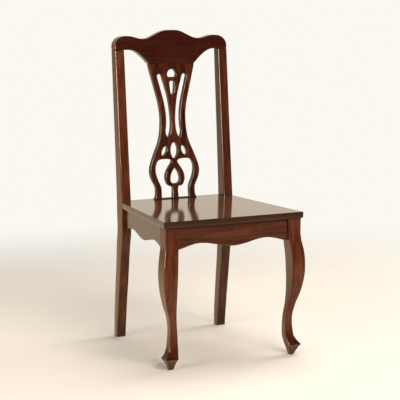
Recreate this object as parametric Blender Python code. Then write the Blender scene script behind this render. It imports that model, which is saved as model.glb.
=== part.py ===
"""Wooden dining chair: pierced splat back, plain wooden seat, cabriole front legs.

Lengths are in metres and +Z is up. The chair faces -Y. Left is the -X side, which is on the left
of someone who stands in front of the chair and looks at it. The pieces are worked out from the
front edge of the seat, and an empty then moves them all, so that the origin lies on the floor in
the middle of the chair's box.
"""

import math

import bmesh
import bpy
from mathutils import Matrix, Vector

# Fits and mesh fineness
GAP = 0.0003
OVERRUN = 0.004
ARRIS_STEPS = 2
PIN_SIDES = 10
LEG_STEPS = 4
OUTLINE_STEPS = 3
OPENING_STEPS = 2
LEAF_SIDES = 16
SMOOTHING_DEGREES = 35

# Seat panel
SEAT_HEIGHT = 0.450
SEAT_THICKNESS = 0.0195
SEAT_FRONT_WIDTH = 0.471
SEAT_DEPTH_TO_POSTS = 0.4033
SEAT_SIDE_OVERHANG = 0.0076
SEAT_FRONT_OVERHANG = 0.0028
SEAT_CORNER_RADIUS = 0.005
SEAT_TOP_ROUND = 0.0025
SEAT_UNDER_ROUND = 0.007
SEAT_ROUND_PROFILE_SHARE = 0.5

# Rear legs: one piece each from the floor to the crest
WIDTH_OVER_POSTS = 0.3964
POST_WIDTH = 0.0315
POST_ARRIS = 0.003
POST_RISE = 0.483
POST_TOP_SET_BACK = 0.0467
POST_TOP_DEPTH = 0.035
POST_SEAT_DEPTH = 0.0483
REAR_BLOCK_LENGTH = 0.0855
REAR_BLOCK_DEPTH = 0.046
REAR_FOOT_SET_BACK = 0.0537
REAR_FOOT_DEPTH = 0.0263

# Stations up the rear leg: share of the height of its stretch, share of that stretch's set back,
# and share of the way from that stretch's one depth to its other
REAR_SHANK_SHARES = ((0, 1, 1), (0.2, 0.84, 0.7), (0.41, 0.64, 0.53), (0.61, 0.43, 0.38),
                     (0.81, 0.25, 0.24), (0.90, 0.15, 0.08), (1, 0, 0))
POST_SHARES = ((0, 0, 0), (0.1, 0.11, 0.22), (0.31, 0.325, 0.48), (0.66, 0.67, 0.75), (1, 1, 1))

# Front legs: a square block that runs into a cabriole shank and a pointed foot. A bulge is how far
# the two outer faces stand out past those of the block, and an inset is how far they stand in.
BLOCK_SQUARE = 0.0435
BLOCK_LENGTH = 0.0652
BLOCK_ARRIS = 0.002
BLOCK_END_BULGE = 0.0012
HIP_BULGE = 0.0088
KNEE_BULGE = 0.0109
KNEE_SQUARE = 0.0457
THIGH_BULGE = 0.0082
THIGH_SQUARE = 0.0417
CALF_BULGE = 0.0008
CALF_SQUARE = 0.0345
SHIN_INSET = 0.0102
SHIN_SQUARE = 0.0256
ANKLE_INSET = 0.0172
ANKLE_SQUARE = 0.0236
INSTEP_INSET = 0.0137
INSTEP_SQUARE = 0.0283
NECK_INSET = 0.0050
NECK_SQUARE = 0.0336
FOOT_RIM_HEIGHT = 0.034
FOOT_RIM_SQUARE = 0.0410
FOOT_RIM_BULGE = 0.0038
FOOT_RIM_ARRIS = 0.0012
FOOT_TURN_IN = 0.0025
SOLE_SQUARE = 0.0135

# Where the sections of the shank stand: shares of the height from the foot's rim to the block
HIP_SHARE = 0.870
KNEE_SHARE = 0.743
THIGH_SHARE = 0.622
CALF_SHARE = 0.5015
SHIN_SHARE = 0.381
ANKLE_SHARE = 0.251
INSTEP_SHARE = 0.0967
NECK_SHARE = 0.0363

# How much of the foot's turn inwards and forwards the leg has made on its way down
THIGH_TURN_SHARE = 0.15
CALF_TURN_SHARE = 0.5
FOOT_TURN_SHARE = 0.5

# The underside of the front foot, from its rim down: share of the rim's height, and share of the
# way from the sole's square to the rim's. The outer faces take this share of the taper.
FOOT_UNDERSIDE_SHARES = ((0.88, 0.83), (0.6, 0.53), (0.3, 0.26), (0.04, 0.06), (0, 0))
FOOT_TAPER_SHARE = 0.64

# Aprons
APRON_THICKNESS = 0.020
APRON_CENTRE_DEPTH = 0.0690
APRON_ARCH_RISE = 0.0166
APRON_CROWN_SHARE = 0.607
APRON_OUTER_WAVE_SHARE = 0.49
APRON_STATIONS = 26
FRONT_APRON_RECESS = 0.0092
SIDE_APRON_FRONT_INSET = 0.0062
SIDE_APRON_REAR_INSET = 0.0095
REAR_APRON_DEPTH = 0.055
REAR_APRON_INSET = 0.004

# Crest rail. Rises are heights above its joints with the posts.
CREST_DROP = 0.0445
CREST_DROP_HALF_WIDTH = 0.0805
CREST_PEAK_RISE = 0.0615
CREST_PEAK_HALF_FLAT = 0.0125
CREST_DIP_RISE = 0.0345
CREST_SHOULDER_RISE = 0.0440
CREST_EAR_WIDTH = 0.0385
CREST_EAR_RISE = 0.010
CREST_MIDDLE_SET_BACK = 0.0517
CREST_MIDDLE_THICKNESS = 0.024
CREST_ARRIS = 0.003

# The dip's share of the half width, the shoulder's of the way from the dip to the ear, and the
# share of the way from the splat to the post at which the lower edge becomes level
CREST_DIP_SHARE = 0.494
CREST_SHOULDER_SHARE = 0.89
CREST_SPREAD_SHARE = 0.797
CREST_MIDDLE_STEPS = 8
CREST_SPREAD_STEPS = 8
EAR_DEGREES = (0, 17, 33, 47, 59, 70, 80, 90)

# Splat: a board that leans back, pierced through
SPLAT_SET_BACK = 0.0185
SPLAT_TOP_SET_BACK = 0.0332
SPLAT_THICKNESS = 0.0175
SPLAT_TENON_THICKNESS = 0.0095
SPLAT_TENON_HALF_WIDTH = 0.062
SPLAT_SEAT_TENON = 0.012
SPLAT_CREST_TENON = 0.016
SPLAT_BASE_STRIP = 0.003
SPLAT_WAIST_HALF_WIDTH = 0.0438
SPLAT_BELLY_HALF_WIDTH = 0.087
SPLAT_NECK_HALF_WIDTH = 0.0687
SPLAT_FOOT_HALF_WIDTH = 0.075
SPLAT_RAIL_WIDTH = 0.0187

# The splat's edge in four stretches, from the seat up: share of the way from the stretch's one
# half width to its other, and share of the splat's height
FOOT_TO_NECK_SHARES = ((0, 0), (0.8, 0.025))
NECK_TO_BELLY_SHARES = ((0, 0.055), (0.10, 0.095), (0.80, 0.155))
BELLY_TO_WAIST_SHARES = ((0, 0.224), (0.33, 0.322), (0.84, 0.445))
WAIST_TO_TOP_SHARES = ((0, 0.58), (0.11, 0.69), (0.42, 0.80), (0.75, 0.905), (0.955, 0.972), (1, 1))

# Openings of the right half: share of a half width, and share of the splat's height. The slots,
# the window, the keyhole and the leaves follow the waist, and the heart and the teardrop the belly.
SLOT_INNER_SHARES = ((0.83, 0.912), (0.60, 0.84), (0.385, 0.762), (0.26, 0.69), (0.18, 0.61),
                     (0.175, 0.545), (0.24, 0.495), (0.37, 0.462), (0.50, 0.448))
SLOT_LOW_SHARE = 0.447
SLOT_HIGH_SHARE = 0.91
SLOT_END_SHARES = ((0.15, 0.915), (0.45, 0.921), (0.80, 0.920))
WINDOW_WIDTH_SHARE = 0.37
WINDOW_SILL_WIDTH_SHARE = 0.85
WINDOW_SILL_SHARE = 0.897
WINDOW_SPRING_SHARE = 0.915
WINDOW_CROWN_SHARE = 0.955
KEYHOLE_SHARES = ((0.13, 0.868), (0.20, 0.862), (0.205, 0.85), (0.17, 0.81), (0.09, 0.772), (0, 0.763))
HEART_SHARES = ((0.12, 0.086), (0.145, 0.092), (0.25, 0.094), (0.34, 0.113), (0.385, 0.145),
                (0.38, 0.172), (0.33, 0.203), (0.25, 0.23), (0.165, 0.255), (0.105, 0.278),
                (0.20, 0.291), (0.34, 0.295), (0.57, 0.293), (0.68, 0.283), (0.755, 0.258),
                (0.787, 0.228), (0.78, 0.196), (0.735, 0.162), (0.655, 0.123), (0.585, 0.091),
                (0.568, 0.057))
HEART_SILL_SHARES = (0.12, 0.575)
TEARDROP_SHARES = ((0, 0.229), (0.09, 0.208), (0.155, 0.184), (0.19, 0.156), (0.19, 0.132),
                   (0.13, 0.115), (0, 0.1105))

# Leaves: shares of the waist for place and half width, of the splat's height for place and half
# length, and how far the leaf's foot swings outwards
MIDDLE_LEAF_SHARES = (0, 0.356, 0.30, 0.062)
SIDE_LEAF_SHARES = (0.80, 0.3545, 0.193, 0.040)
SIDE_LEAF_TILT_DEGREES = 24
LEAF_POINT_SHARE = 0.25

# Dowels. Their drops are shares of the apron's least depth.
DOWEL_RADIUS = 0.005
DOWEL_SET_IN = 0.020
DOWEL_CHAMFER = 0.001
DOWEL_WALL = 0.0015
DOWEL_DROP_SHARES = (("upper", 0.30), ("lower", 0.74))
CREST_DOWEL_RADIUS = 0.004
CREST_DOWEL_PITCH = 0.016

# Corner blocks and screws
CORNER_BLOCK_HEIGHT = 0.030
CORNER_BLOCK_REACH = 0.060
CORNER_BLOCK_RELIEF = 0.0005
SCREW_SHANK_RADIUS = 0.0021
SCREW_HEAD_RADIUS = 0.0042
SCREW_HEAD_HEIGHT = 0.0028
SCREW_POINT_LENGTH = 0.004
SCREW_CROWN_SHARE = 0.7
SCREW_TIP_SHARE = 0.3
BLOCK_SCREW_SEAT = 0.014
BLOCK_SCREW_BITE = 0.015
BLOCK_SCREW_OFFSET = 0.032
SEAT_SCREW_BITE = 0.012
SEAT_SCREW_SHARE = 0.40

# Colours and roughness of the finish
CREST_COLOUR = (0.045, 0.011, 0.006)
FRAME_COLOUR = (0.110, 0.030, 0.013)
SEAT_COLOUR = (0.120, 0.036, 0.016)
BARE_WOOD_COLOUR = (0.420, 0.260, 0.130)
STEEL_COLOUR = (0.550, 0.520, 0.460)
LACQUER_ROUGHNESS = 0.28
BARE_WOOD_ROUGHNESS = 0.65
STEEL_ROUGHNESS = 0.35

# Places worked out from the sizes above, in the frame of the seat's front edge
SEAT_UNDERSIDE = SEAT_HEIGHT - SEAT_THICKNESS
FRAME_TOP = SEAT_UNDERSIDE - GAP
CREST_JOINT_HEIGHT = SEAT_HEIGHT + POST_RISE
SEAT_HALF_WIDTH = SEAT_FRONT_WIDTH / 2
POST_OUTER = WIDTH_OVER_POSTS / 2
POST_INNER = POST_OUTER - POST_WIDTH
POST_FRONT = SEAT_DEPTH_TO_POSTS
POST_BACK = POST_FRONT + POST_SEAT_DEPTH
POST_LEAN = POST_TOP_SET_BACK / POST_RISE
REAR_BLOCK_END = SEAT_UNDERSIDE - REAR_BLOCK_LENGTH
LEG_OUTER = SEAT_HALF_WIDTH - SEAT_SIDE_OVERHANG
LEG_INNER = LEG_OUTER - BLOCK_SQUARE
LEG_FRONT = SEAT_FRONT_OVERHANG
LEG_BACK = LEG_FRONT + BLOCK_SQUARE
BLOCK_END_HEIGHT = FRAME_TOP - BLOCK_LENGTH
FRONT_APRON_FACE = LEG_FRONT + FRONT_APRON_RECESS
FRONT_APRON_MIDDLE = FRONT_APRON_FACE + APRON_THICKNESS / 2
FRONT_APRON_BACK = FRONT_APRON_FACE + APRON_THICKNESS
REAR_APRON_BACK = POST_BACK - REAR_APRON_INSET
REAR_APRON_MIDDLE = REAR_APRON_BACK - APRON_THICKNESS / 2
REAR_APRON_FACE = REAR_APRON_BACK - APRON_THICKNESS
CREST_EAR_START = POST_OUTER - CREST_EAR_WIDTH
SPLAT_TOP = CREST_JOINT_HEIGHT - CREST_DROP
SPLAT_HEIGHT = SPLAT_TOP - SEAT_HEIGHT
SPLAT_FRONT = POST_FRONT + SPLAT_SET_BACK
SPLAT_LEAN = SPLAT_TOP_SET_BACK / SPLAT_HEIGHT
SPLAT_CHEEK = (SPLAT_THICKNESS - SPLAT_TENON_THICKNESS) / 2


def clear_scene():
    """Remove whatever the file holds."""
    for item in list(bpy.data.objects):
        bpy.data.objects.remove(item, do_unlink=True)


def mix(start, end, share):
    """The value that lies this share of the way from start to end."""
    return start + (end - start) * share


def half_wave(share):
    """Rise from 0 to 1 along half a cosine wave, level at both ends."""
    return (1 - math.cos(math.pi * min(max(share, 0), 1))) / 2


def catmull_rom(before, start, end, after, t):
    """One coordinate of the smooth curve from start to end, t of the way along."""
    slope = end - before
    bend = 2 * before - 5 * start + 4 * end - after
    twist = 3 * start - before - 3 * end + after
    return (2 * start + slope * t + bend * t ** 2 + twist * t ** 3) / 2


def smooth_curve(points, steps):
    """Points of a Catmull-Rom curve through the given ones, steps to a span."""
    curve = []
    last = len(points) - 1
    for index in range(last):
        span = (points[max(index - 1, 0)], points[index], points[index + 1], points[min(index + 2, last)])
        for step in range(steps):
            curve.append(tuple(catmull_rom(*values, step / steps) for values in zip(*span)))
    curve.append(tuple(points[last]))
    return curve


def arc(centre, radii, start_degrees, end_degrees, steps):
    """Points on part of an ellipse, both ends included."""
    points = []
    for step in range(steps + 1):
        angle = math.radians(mix(start_degrees, end_degrees, step / steps))
        points.append((centre[0] + radii[0] * math.cos(angle), centre[1] + radii[1] * math.sin(angle)))
    return points


def rounded_rectangle(low, high, radius):
    """Corners of a rectangle from low to high, each rounded, in anticlockwise order."""
    points = []
    signs = ((1, 1), (-1, 1), (-1, -1), (1, -1))
    for quarter, (sign_x, sign_y) in enumerate(signs):
        corner_x = high[0] if sign_x > 0 else low[0]
        corner_y = high[1] if sign_y > 0 else low[1]
        centre = (corner_x - sign_x * radius, corner_y - sign_y * radius)
        points += arc(centre, (radius, radius), quarter * 90, quarter * 90 + 90, ARRIS_STEPS)
    return points


def loft(mesh, rings):
    """Skin one closed body over rings that all have the same number of points."""
    rows = [[mesh.verts.new(point) for point in ring] for ring in rings]
    for lower, upper in zip(rows, rows[1:]):
        count = len(lower)
        for index in range(count):
            following = (index + 1) % count
            mesh.faces.new((lower[index], lower[following], upper[following], upper[index]))
    mesh.faces.new(tuple(reversed(rows[0])))
    mesh.faces.new(rows[-1])


def prism(mesh, outline, travel):
    """Extrude a flat outline along a vector."""
    loft(mesh, (outline, [Vector(point) + travel for point in outline]))


def upright_board(mesh, outline, front, back):
    """Extrude an outline given as (x, z) from the front to the back."""
    ring = [Vector((x, front, z)) for x, z in outline]
    prism(mesh, ring, Vector((0, back - front, 0)))


def turned(mesh, seat, profile):
    """Turn a profile of (distance, radius) round the local z axis of the matrix seat."""
    rings = []
    for distance, radius in profile:
        ring = []
        for index in range(PIN_SIDES):
            angle = 2 * math.pi * index / PIN_SIDES
            ring.append(seat @ Vector((radius * math.cos(angle), radius * math.sin(angle), distance)))
        rings.append(ring)
    loft(mesh, rings)


def seat_matrix(start, along):
    """Matrix of a pin that starts at a point and runs along a direction."""
    return Matrix.Translation(start) @ along.to_track_quat("Z", "Y").to_matrix().to_4x4()


def finish(name, colour, roughness, metallic):
    """The material of one piece."""
    material = bpy.data.materials.new(name + "_finish")
    material.use_nodes = True
    shader = material.node_tree.nodes["Principled BSDF"]
    shader.inputs["Base Color"].default_value = (*colour, 1)
    shader.inputs["Roughness"].default_value = roughness
    shader.inputs["Metallic"].default_value = metallic
    return material


def place(name, mesh):
    """Turn a finished bmesh into an object of the scene."""
    bmesh.ops.recalc_face_normals(mesh, faces=mesh.faces)
    data = bpy.data.meshes.new(name)
    mesh.to_mesh(data)
    mesh.free()
    data.shade_smooth()
    data.set_sharp_from_angle(angle=math.radians(SMOOTHING_DEGREES))
    item = bpy.data.objects.new(name, data)
    bpy.context.scene.collection.objects.link(item)
    return item


def piece(name, mesh, colour, roughness=LACQUER_ROUGHNESS, metallic=0):
    """A sub-part of the chair, with its own material."""
    item = place(name, mesh)
    item.data.materials.append(finish(name, colour, roughness, metallic))
    PIECES[name] = item
    return item


def pins(prefix, profile, places, colour, roughness, metallic):
    """Copies of one turned piece that share a mesh; places gives each one's name and matrix."""
    mesh = bmesh.new()
    turned(mesh, Matrix.Identity(4), profile)
    shared = None
    for name, seat in places:
        if shared is None:
            item = piece(prefix + name, mesh, colour, roughness, metallic)
            shared = item.data
        else:
            item = bpy.data.objects.new(prefix + name, shared)
            bpy.context.scene.collection.objects.link(item)
            PIECES[item.name] = item
        item.matrix_world = seat


def cutter(name, mesh):
    """A body that only cuts: it isn't rendered and isn't a piece of the chair."""
    item = place(name, mesh)
    item.hide_render = True
    item.display_type = "WIRE"
    CUTTERS.append(item)
    return item


def cut(target_names, tool):
    """Take the cutter away from each of the named pieces."""
    for name in target_names:
        modifier = PIECES[name].modifiers.new(tool.name, "BOOLEAN")
        modifier.operation = "DIFFERENCE"
        modifier.solver = "EXACT"
        modifier.object = tool


def side_name(side):
    """The chair's left side is -1 and its right side is 1."""
    return "left" if side < 0 else "right"


def mirrored(points, side):
    """Points (x, z) of the right half, kept or moved to the left half."""
    return [(side * x, z) for x, z in points]


def cabriole_sections():
    """Height, bulge, share of the turn-in and square of a front leg's sections, from the top down."""
    bulge = BLOCK_END_BULGE
    shank = (
        (1, bulge, 0, BLOCK_SQUARE - bulge),
        (HIP_SHARE, HIP_BULGE, 0, KNEE_SQUARE),
        (KNEE_SHARE, KNEE_BULGE, 0, KNEE_SQUARE),
        (THIGH_SHARE, THIGH_BULGE, THIGH_TURN_SHARE, THIGH_SQUARE),
        (CALF_SHARE, CALF_BULGE, CALF_TURN_SHARE, CALF_SQUARE),
        (SHIN_SHARE, -SHIN_INSET, 1, SHIN_SQUARE),
        (ANKLE_SHARE, -ANKLE_INSET, 1, ANKLE_SQUARE),
        (INSTEP_SHARE, -INSTEP_INSET, 1, INSTEP_SQUARE),
        (NECK_SHARE, -NECK_INSET, 1, NECK_SQUARE),
        (0, FOOT_RIM_BULGE, FOOT_TURN_SHARE, FOOT_RIM_SQUARE),
    )
    sections = [(FRAME_TOP, 0, 0, BLOCK_SQUARE)]
    for height_share, out, turn_share, square in smooth_curve(shank, LEG_STEPS):
        sections.append((mix(FOOT_RIM_HEIGHT, BLOCK_END_HEIGHT, height_share), out, turn_share, square))
    for height_share, spread_share in FOOT_UNDERSIDE_SHARES:
        square = mix(SOLE_SQUARE, FOOT_RIM_SQUARE, spread_share)
        out = FOOT_RIM_BULGE - (FOOT_RIM_SQUARE - square) * FOOT_TAPER_SHARE
        sections.append((FOOT_RIM_HEIGHT * height_share, out, FOOT_TURN_SHARE, square))
    return sections


def build_front_leg(side):
    """Cabriole leg, whose two outer faces follow one curve."""
    rings = []
    for height, bulge, turn_share, square in cabriole_sections():
        turn = FOOT_TURN_IN * turn_share
        outer = LEG_OUTER + bulge - turn
        front = LEG_FRONT - bulge - turn
        low = (min(side * outer, side * (outer - square)), front)
        high = (max(side * outer, side * (outer - square)), front + square)
        arris = BLOCK_ARRIS if height > FOOT_RIM_HEIGHT else FOOT_RIM_ARRIS
        rings.append([Vector((x, y, height)) for x, y in rounded_rectangle(low, high, arris)])
    mesh = bmesh.new()
    loft(mesh, rings)
    piece("front_leg_" + side_name(side), mesh, FRAME_COLOUR)


def rear_leg_stations():
    """Heights, front faces and depths of the rear leg, from the floor to the crest."""
    shank = []
    for height_share, back_share, depth_share in REAR_SHANK_SHARES:
        shank.append((REAR_BLOCK_END * height_share,
                      POST_FRONT + REAR_FOOT_SET_BACK * back_share,
                      mix(REAR_BLOCK_DEPTH, REAR_FOOT_DEPTH, depth_share)))
    post = []
    for height_share, back_share, depth_share in POST_SHARES:
        post.append((mix(SEAT_HEIGHT, CREST_JOINT_HEIGHT - GAP, height_share),
                     POST_FRONT + POST_TOP_SET_BACK * back_share,
                     mix(POST_SEAT_DEPTH, POST_TOP_DEPTH, depth_share)))
    block_top = (SEAT_UNDERSIDE, POST_FRONT, POST_SEAT_DEPTH)
    return smooth_curve(shank, LEG_STEPS) + [block_top] + smooth_curve(post, LEG_STEPS)


def build_rear_leg(side):
    """Rear leg and back post in one, cut to its curve in side view."""
    low_x = min(side * POST_OUTER, side * POST_INNER)
    rings = []
    for height, front, depth in rear_leg_stations():
        section = rounded_rectangle((low_x, front), (low_x + POST_WIDTH, front + depth), POST_ARRIS)
        rings.append([Vector((x, y, height)) for x, y in section])
    mesh = bmesh.new()
    loft(mesh, rings)
    piece("rear_leg_" + side_name(side), mesh, FRAME_COLOUR)


def serpentine_depth(place_share):
    """Depth of a shaped apron, for a place from 0 in its middle to 1 at its end."""
    if place_share < APRON_CROWN_SHARE:
        rise_share = half_wave(place_share / APRON_CROWN_SHARE)
    else:
        rise_share = 1 - half_wave((place_share - APRON_CROWN_SHARE) / APRON_OUTER_WAVE_SHARE)
    return APRON_CENTRE_DEPTH - APRON_ARCH_RISE * rise_share


def straight_depth(_place_share):
    """Depth of the plain rear apron."""
    return REAR_APRON_DEPTH


def build_apron(name, start, end, through, depth_at, stations):
    """A rail from start to end, its lower edge shaped by depth_at, as thick as the vector."""
    rings = []
    for index in range(stations + 1):
        share = index / stations
        top = start.lerp(end, share)
        bottom = top - Vector((0, 0, depth_at(abs(2 * share - 1))))
        rings.append([top, top + through, bottom + through, bottom])
    mesh = bmesh.new()
    loft(mesh, rings)
    piece(name, mesh, FRAME_COLOUR)


def side_apron_x(distance_back):
    """How far out the outer face of the side apron lies, at a distance from the seat's front."""
    share = (distance_back - LEG_BACK) / (POST_FRONT - LEG_BACK)
    return mix(LEG_OUTER - SIDE_APRON_FRONT_INSET, POST_OUTER - SIDE_APRON_REAR_INSET, share)


def side_apron_direction(side):
    """Unit vector along a side apron, from the front leg to the rear leg."""
    run_x = side * (side_apron_x(POST_FRONT) - side_apron_x(LEG_BACK))
    return Vector((run_x, POST_FRONT - LEG_BACK, 0)).normalized()


def side_apron_width():
    """Width of the slanting side apron, measured straight across the chair."""
    return APRON_THICKNESS / side_apron_direction(1).y


def build_aprons():
    """Four rails under the seat, each between two legs."""
    through = Vector((0, APRON_THICKNESS, 0))
    front_end_x = LEG_INNER - GAP
    build_apron("front_apron",
                Vector((-front_end_x, FRONT_APRON_FACE, FRAME_TOP)),
                Vector((front_end_x, FRONT_APRON_FACE, FRAME_TOP)),
                through, serpentine_depth, APRON_STATIONS)
    rear_end_x = POST_INNER - GAP
    build_apron("rear_apron",
                Vector((-rear_end_x, REAR_APRON_FACE, FRAME_TOP)),
                Vector((rear_end_x, REAR_APRON_FACE, FRAME_TOP)),
                through, straight_depth, 1)
    front_end = LEG_BACK + GAP
    rear_end = POST_FRONT - GAP
    for side in (-1, 1):
        build_apron("side_apron_" + side_name(side),
                    Vector((side * side_apron_x(front_end), front_end, FRAME_TOP)),
                    Vector((side * side_apron_x(rear_end), rear_end, FRAME_TOP)),
                    Vector((-side * side_apron_width(), 0, 0)), serpentine_depth, APRON_STATIONS)


def build_seat():
    """Panel with rounded front corners, notched round the back posts."""
    side_slope = (SEAT_HALF_WIDTH - POST_OUTER) / POST_FRONT
    slant_degrees = math.degrees(math.atan(side_slope))
    notch_front = POST_FRONT - GAP
    notch_inner = POST_INNER - GAP
    radius = SEAT_CORNER_RADIUS
    corner = (SEAT_HALF_WIDTH - radius - radius * side_slope, radius)
    half = arc(corner, (radius, radius), -90, slant_degrees, ARRIS_STEPS + 1)
    half += [(SEAT_HALF_WIDTH - side_slope * notch_front, notch_front),
             (notch_inner, notch_front), (notch_inner, POST_BACK)]
    outline = half + [(-x, y) for x, y in reversed(half)]
    mesh = bmesh.new()
    prism(mesh, [Vector((x, y, SEAT_UNDERSIDE)) for x, y in outline], Vector((0, 0, SEAT_THICKNESS)))
    for height, round_radius in ((SEAT_HEIGHT, SEAT_TOP_ROUND), (SEAT_UNDERSIDE, SEAT_UNDER_ROUND)):
        rim = [edge for edge in mesh.edges if is_seat_rim(edge, height, notch_front, notch_inner)]
        bmesh.ops.bevel(mesh, geom=rim, offset=round_radius, offset_type="OFFSET", segments=ARRIS_STEPS,
                        profile=SEAT_ROUND_PROFILE_SHARE, affect="EDGES", clamp_overlap=True)
    piece("seat_panel", mesh, SEAT_COLOUR)


def is_seat_rim(edge, height, notch_front, notch_inner):
    """True for the panel's open edges at this height, false for the edges of the post notches."""
    level = all(abs(vertex.co.z - height) < GAP for vertex in edge.verts)
    middle = (edge.verts[0].co + edge.verts[1].co) / 2
    in_notch = middle.y > notch_front - GAP and abs(middle.x) > notch_inner - GAP
    return level and not in_notch


def crest_top(offset):
    """Height of the crest's top edge, at a distance from its middle."""
    dip = POST_OUTER * CREST_DIP_SHARE
    shoulder = mix(dip, CREST_EAR_START, CREST_SHOULDER_SHARE)
    if offset < dip:
        share = half_wave((offset - CREST_PEAK_HALF_FLAT) / (dip - CREST_PEAK_HALF_FLAT))
        rise = mix(CREST_PEAK_RISE, CREST_DIP_RISE, share)
    elif offset < CREST_EAR_START:
        share = half_wave((offset - dip) / (shoulder - dip))
        rise = mix(CREST_DIP_RISE, CREST_SHOULDER_RISE, share)
    else:
        share = math.sqrt(max(1 - ((offset - CREST_EAR_START) / CREST_EAR_WIDTH) ** 2, 0))
        rise = mix(CREST_EAR_RISE, CREST_SHOULDER_RISE, share)
    return CREST_JOINT_HEIGHT + rise


def crest_spread_half_width():
    """How far out the crest's lower edge becomes level."""
    return mix(CREST_DROP_HALF_WIDTH, POST_INNER, CREST_SPREAD_SHARE)


def crest_bottom(offset):
    """Height of the crest's lower edge, at a distance from its middle."""
    share = (offset - CREST_DROP_HALF_WIDTH) / (crest_spread_half_width() - CREST_DROP_HALF_WIDTH)
    return SPLAT_TOP + CREST_DROP * math.sin(math.pi / 2 * min(max(share, 0), 1))


def crest_front(offset, height):
    """The front face is upright in the middle and leans with the posts at the ends."""
    leaning = POST_TOP_SET_BACK + POST_LEAN * (height - CREST_JOINT_HEIGHT)
    return POST_FRONT + mix(CREST_MIDDLE_SET_BACK, leaning, half_wave(offset / POST_INNER))


def crest_thickness(offset):
    """From thin over the splat to as thick as the posts."""
    return mix(CREST_MIDDLE_THICKNESS, POST_TOP_DEPTH, half_wave(offset / POST_INNER))


def crest_offsets():
    """Where the crest's sections stand: closer together where its outline turns faster."""
    spread = crest_spread_half_width()
    offsets = [CREST_DROP_HALF_WIDTH * step / CREST_MIDDLE_STEPS for step in range(CREST_MIDDLE_STEPS)]
    for step in range(CREST_SPREAD_STEPS + 1):
        offsets.append(mix(CREST_DROP_HALF_WIDTH, spread, step / CREST_SPREAD_STEPS))
    for degrees in EAR_DEGREES:
        offsets.append(CREST_EAR_START + CREST_EAR_WIDTH * math.sin(math.radians(degrees)))
    return offsets


def build_crest():
    """Skin the crest over upright sections, from its left end to its right end."""
    right = crest_offsets()
    rings = []
    for position in [-offset for offset in reversed(right[1:])] + right:
        offset = abs(position)
        low = (0, crest_bottom(offset))
        high = (crest_thickness(offset), crest_top(offset))
        ring = []
        for across, height in rounded_rectangle(low, high, CREST_ARRIS):
            ring.append(Vector((position, crest_front(offset, height) + across, height)))
        rings.append(ring)
    mesh = bmesh.new()
    loft(mesh, rings)
    piece("crest_rail", mesh, CREST_COLOUR)


def splat_height(height_share):
    """Height of a place on the splat, from 0 on the seat to 1 at the crest."""
    return mix(SEAT_HEIGHT, SPLAT_TOP, height_share)


def shared_points(half_width, shares):
    """Points (x, z) from shares of a half width and of the splat's height."""
    return [(half_width * width_share, splat_height(height_share)) for width_share, height_share in shares]


def splat_side():
    """Right edge of the splat, from the seat up to the crest, as (x, z)."""
    stretches = (
        (SPLAT_FOOT_HALF_WIDTH, SPLAT_NECK_HALF_WIDTH, FOOT_TO_NECK_SHARES),
        (SPLAT_NECK_HALF_WIDTH, SPLAT_BELLY_HALF_WIDTH, NECK_TO_BELLY_SHARES),
        (SPLAT_BELLY_HALF_WIDTH, SPLAT_WAIST_HALF_WIDTH, BELLY_TO_WAIST_SHARES),
        (SPLAT_WAIST_HALF_WIDTH, CREST_DROP_HALF_WIDTH, WAIST_TO_TOP_SHARES),
    )
    stations = []
    for start, end, shares in stretches:
        for width_share, height_share in shares:
            stations.append((mix(start, end, width_share), splat_height(height_share)))
    return smooth_curve(stations, OUTLINE_STEPS)


def splat_outline():
    """Both edges of the splat, with a tenon below for the seat and one above for the crest."""
    tenon = SPLAT_TENON_HALF_WIDTH
    shoulder_low = SEAT_HEIGHT + GAP
    shoulder_high = SPLAT_TOP - GAP
    edge = splat_side()
    half = [(tenon, SEAT_HEIGHT - SPLAT_SEAT_TENON), (tenon, shoulder_low), (edge[0][0], shoulder_low)]
    half += edge[1:-1]
    half += [(edge[-1][0], shoulder_high), (tenon, shoulder_high), (tenon, SPLAT_TOP + SPLAT_CREST_TENON)]
    return half + [(-x, z) for x, z in reversed(half)]


def long_slot():
    """Slot that follows the splat's edge, one rail's width inside it, with a rounded upper end."""
    low = splat_height(SLOT_LOW_SHARE)
    high = splat_height(SLOT_HIGH_SHARE)
    outer = [(x - SPLAT_RAIL_WIDTH, z) for x, z in splat_side() if low < z < high]
    inner = smooth_curve(shared_points(SPLAT_WAIST_HALF_WIDTH, SLOT_INNER_SHARES), OPENING_STEPS)
    end = [(mix(outer[-1][0], inner[0][0], across_share), splat_height(height_share))
           for across_share, height_share in SLOT_END_SHARES]
    return inner + outer + end


def arched_window():
    """Domed opening near the top of the splat."""
    half_width = SPLAT_WAIST_HALF_WIDTH * WINDOW_WIDTH_SHARE
    sill_half_width = half_width * WINDOW_SILL_WIDTH_SHARE
    sill = splat_height(WINDOW_SILL_SHARE)
    spring = splat_height(WINDOW_SPRING_SHARE)
    rise = splat_height(WINDOW_CROWN_SHARE) - spring
    dome = arc((0, spring), (half_width, rise), 0, 180, LEAF_SIDES // 2)
    return [(-sill_half_width, sill), (sill_half_width, sill)] + dome


def keyhole_slot():
    """Slim slot below the window, narrowing downwards."""
    half = shared_points(SPLAT_WAIST_HALF_WIDTH, KEYHOLE_SHARES)
    return half + [(-x, z) for x, z in reversed(half[:-1])]


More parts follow.
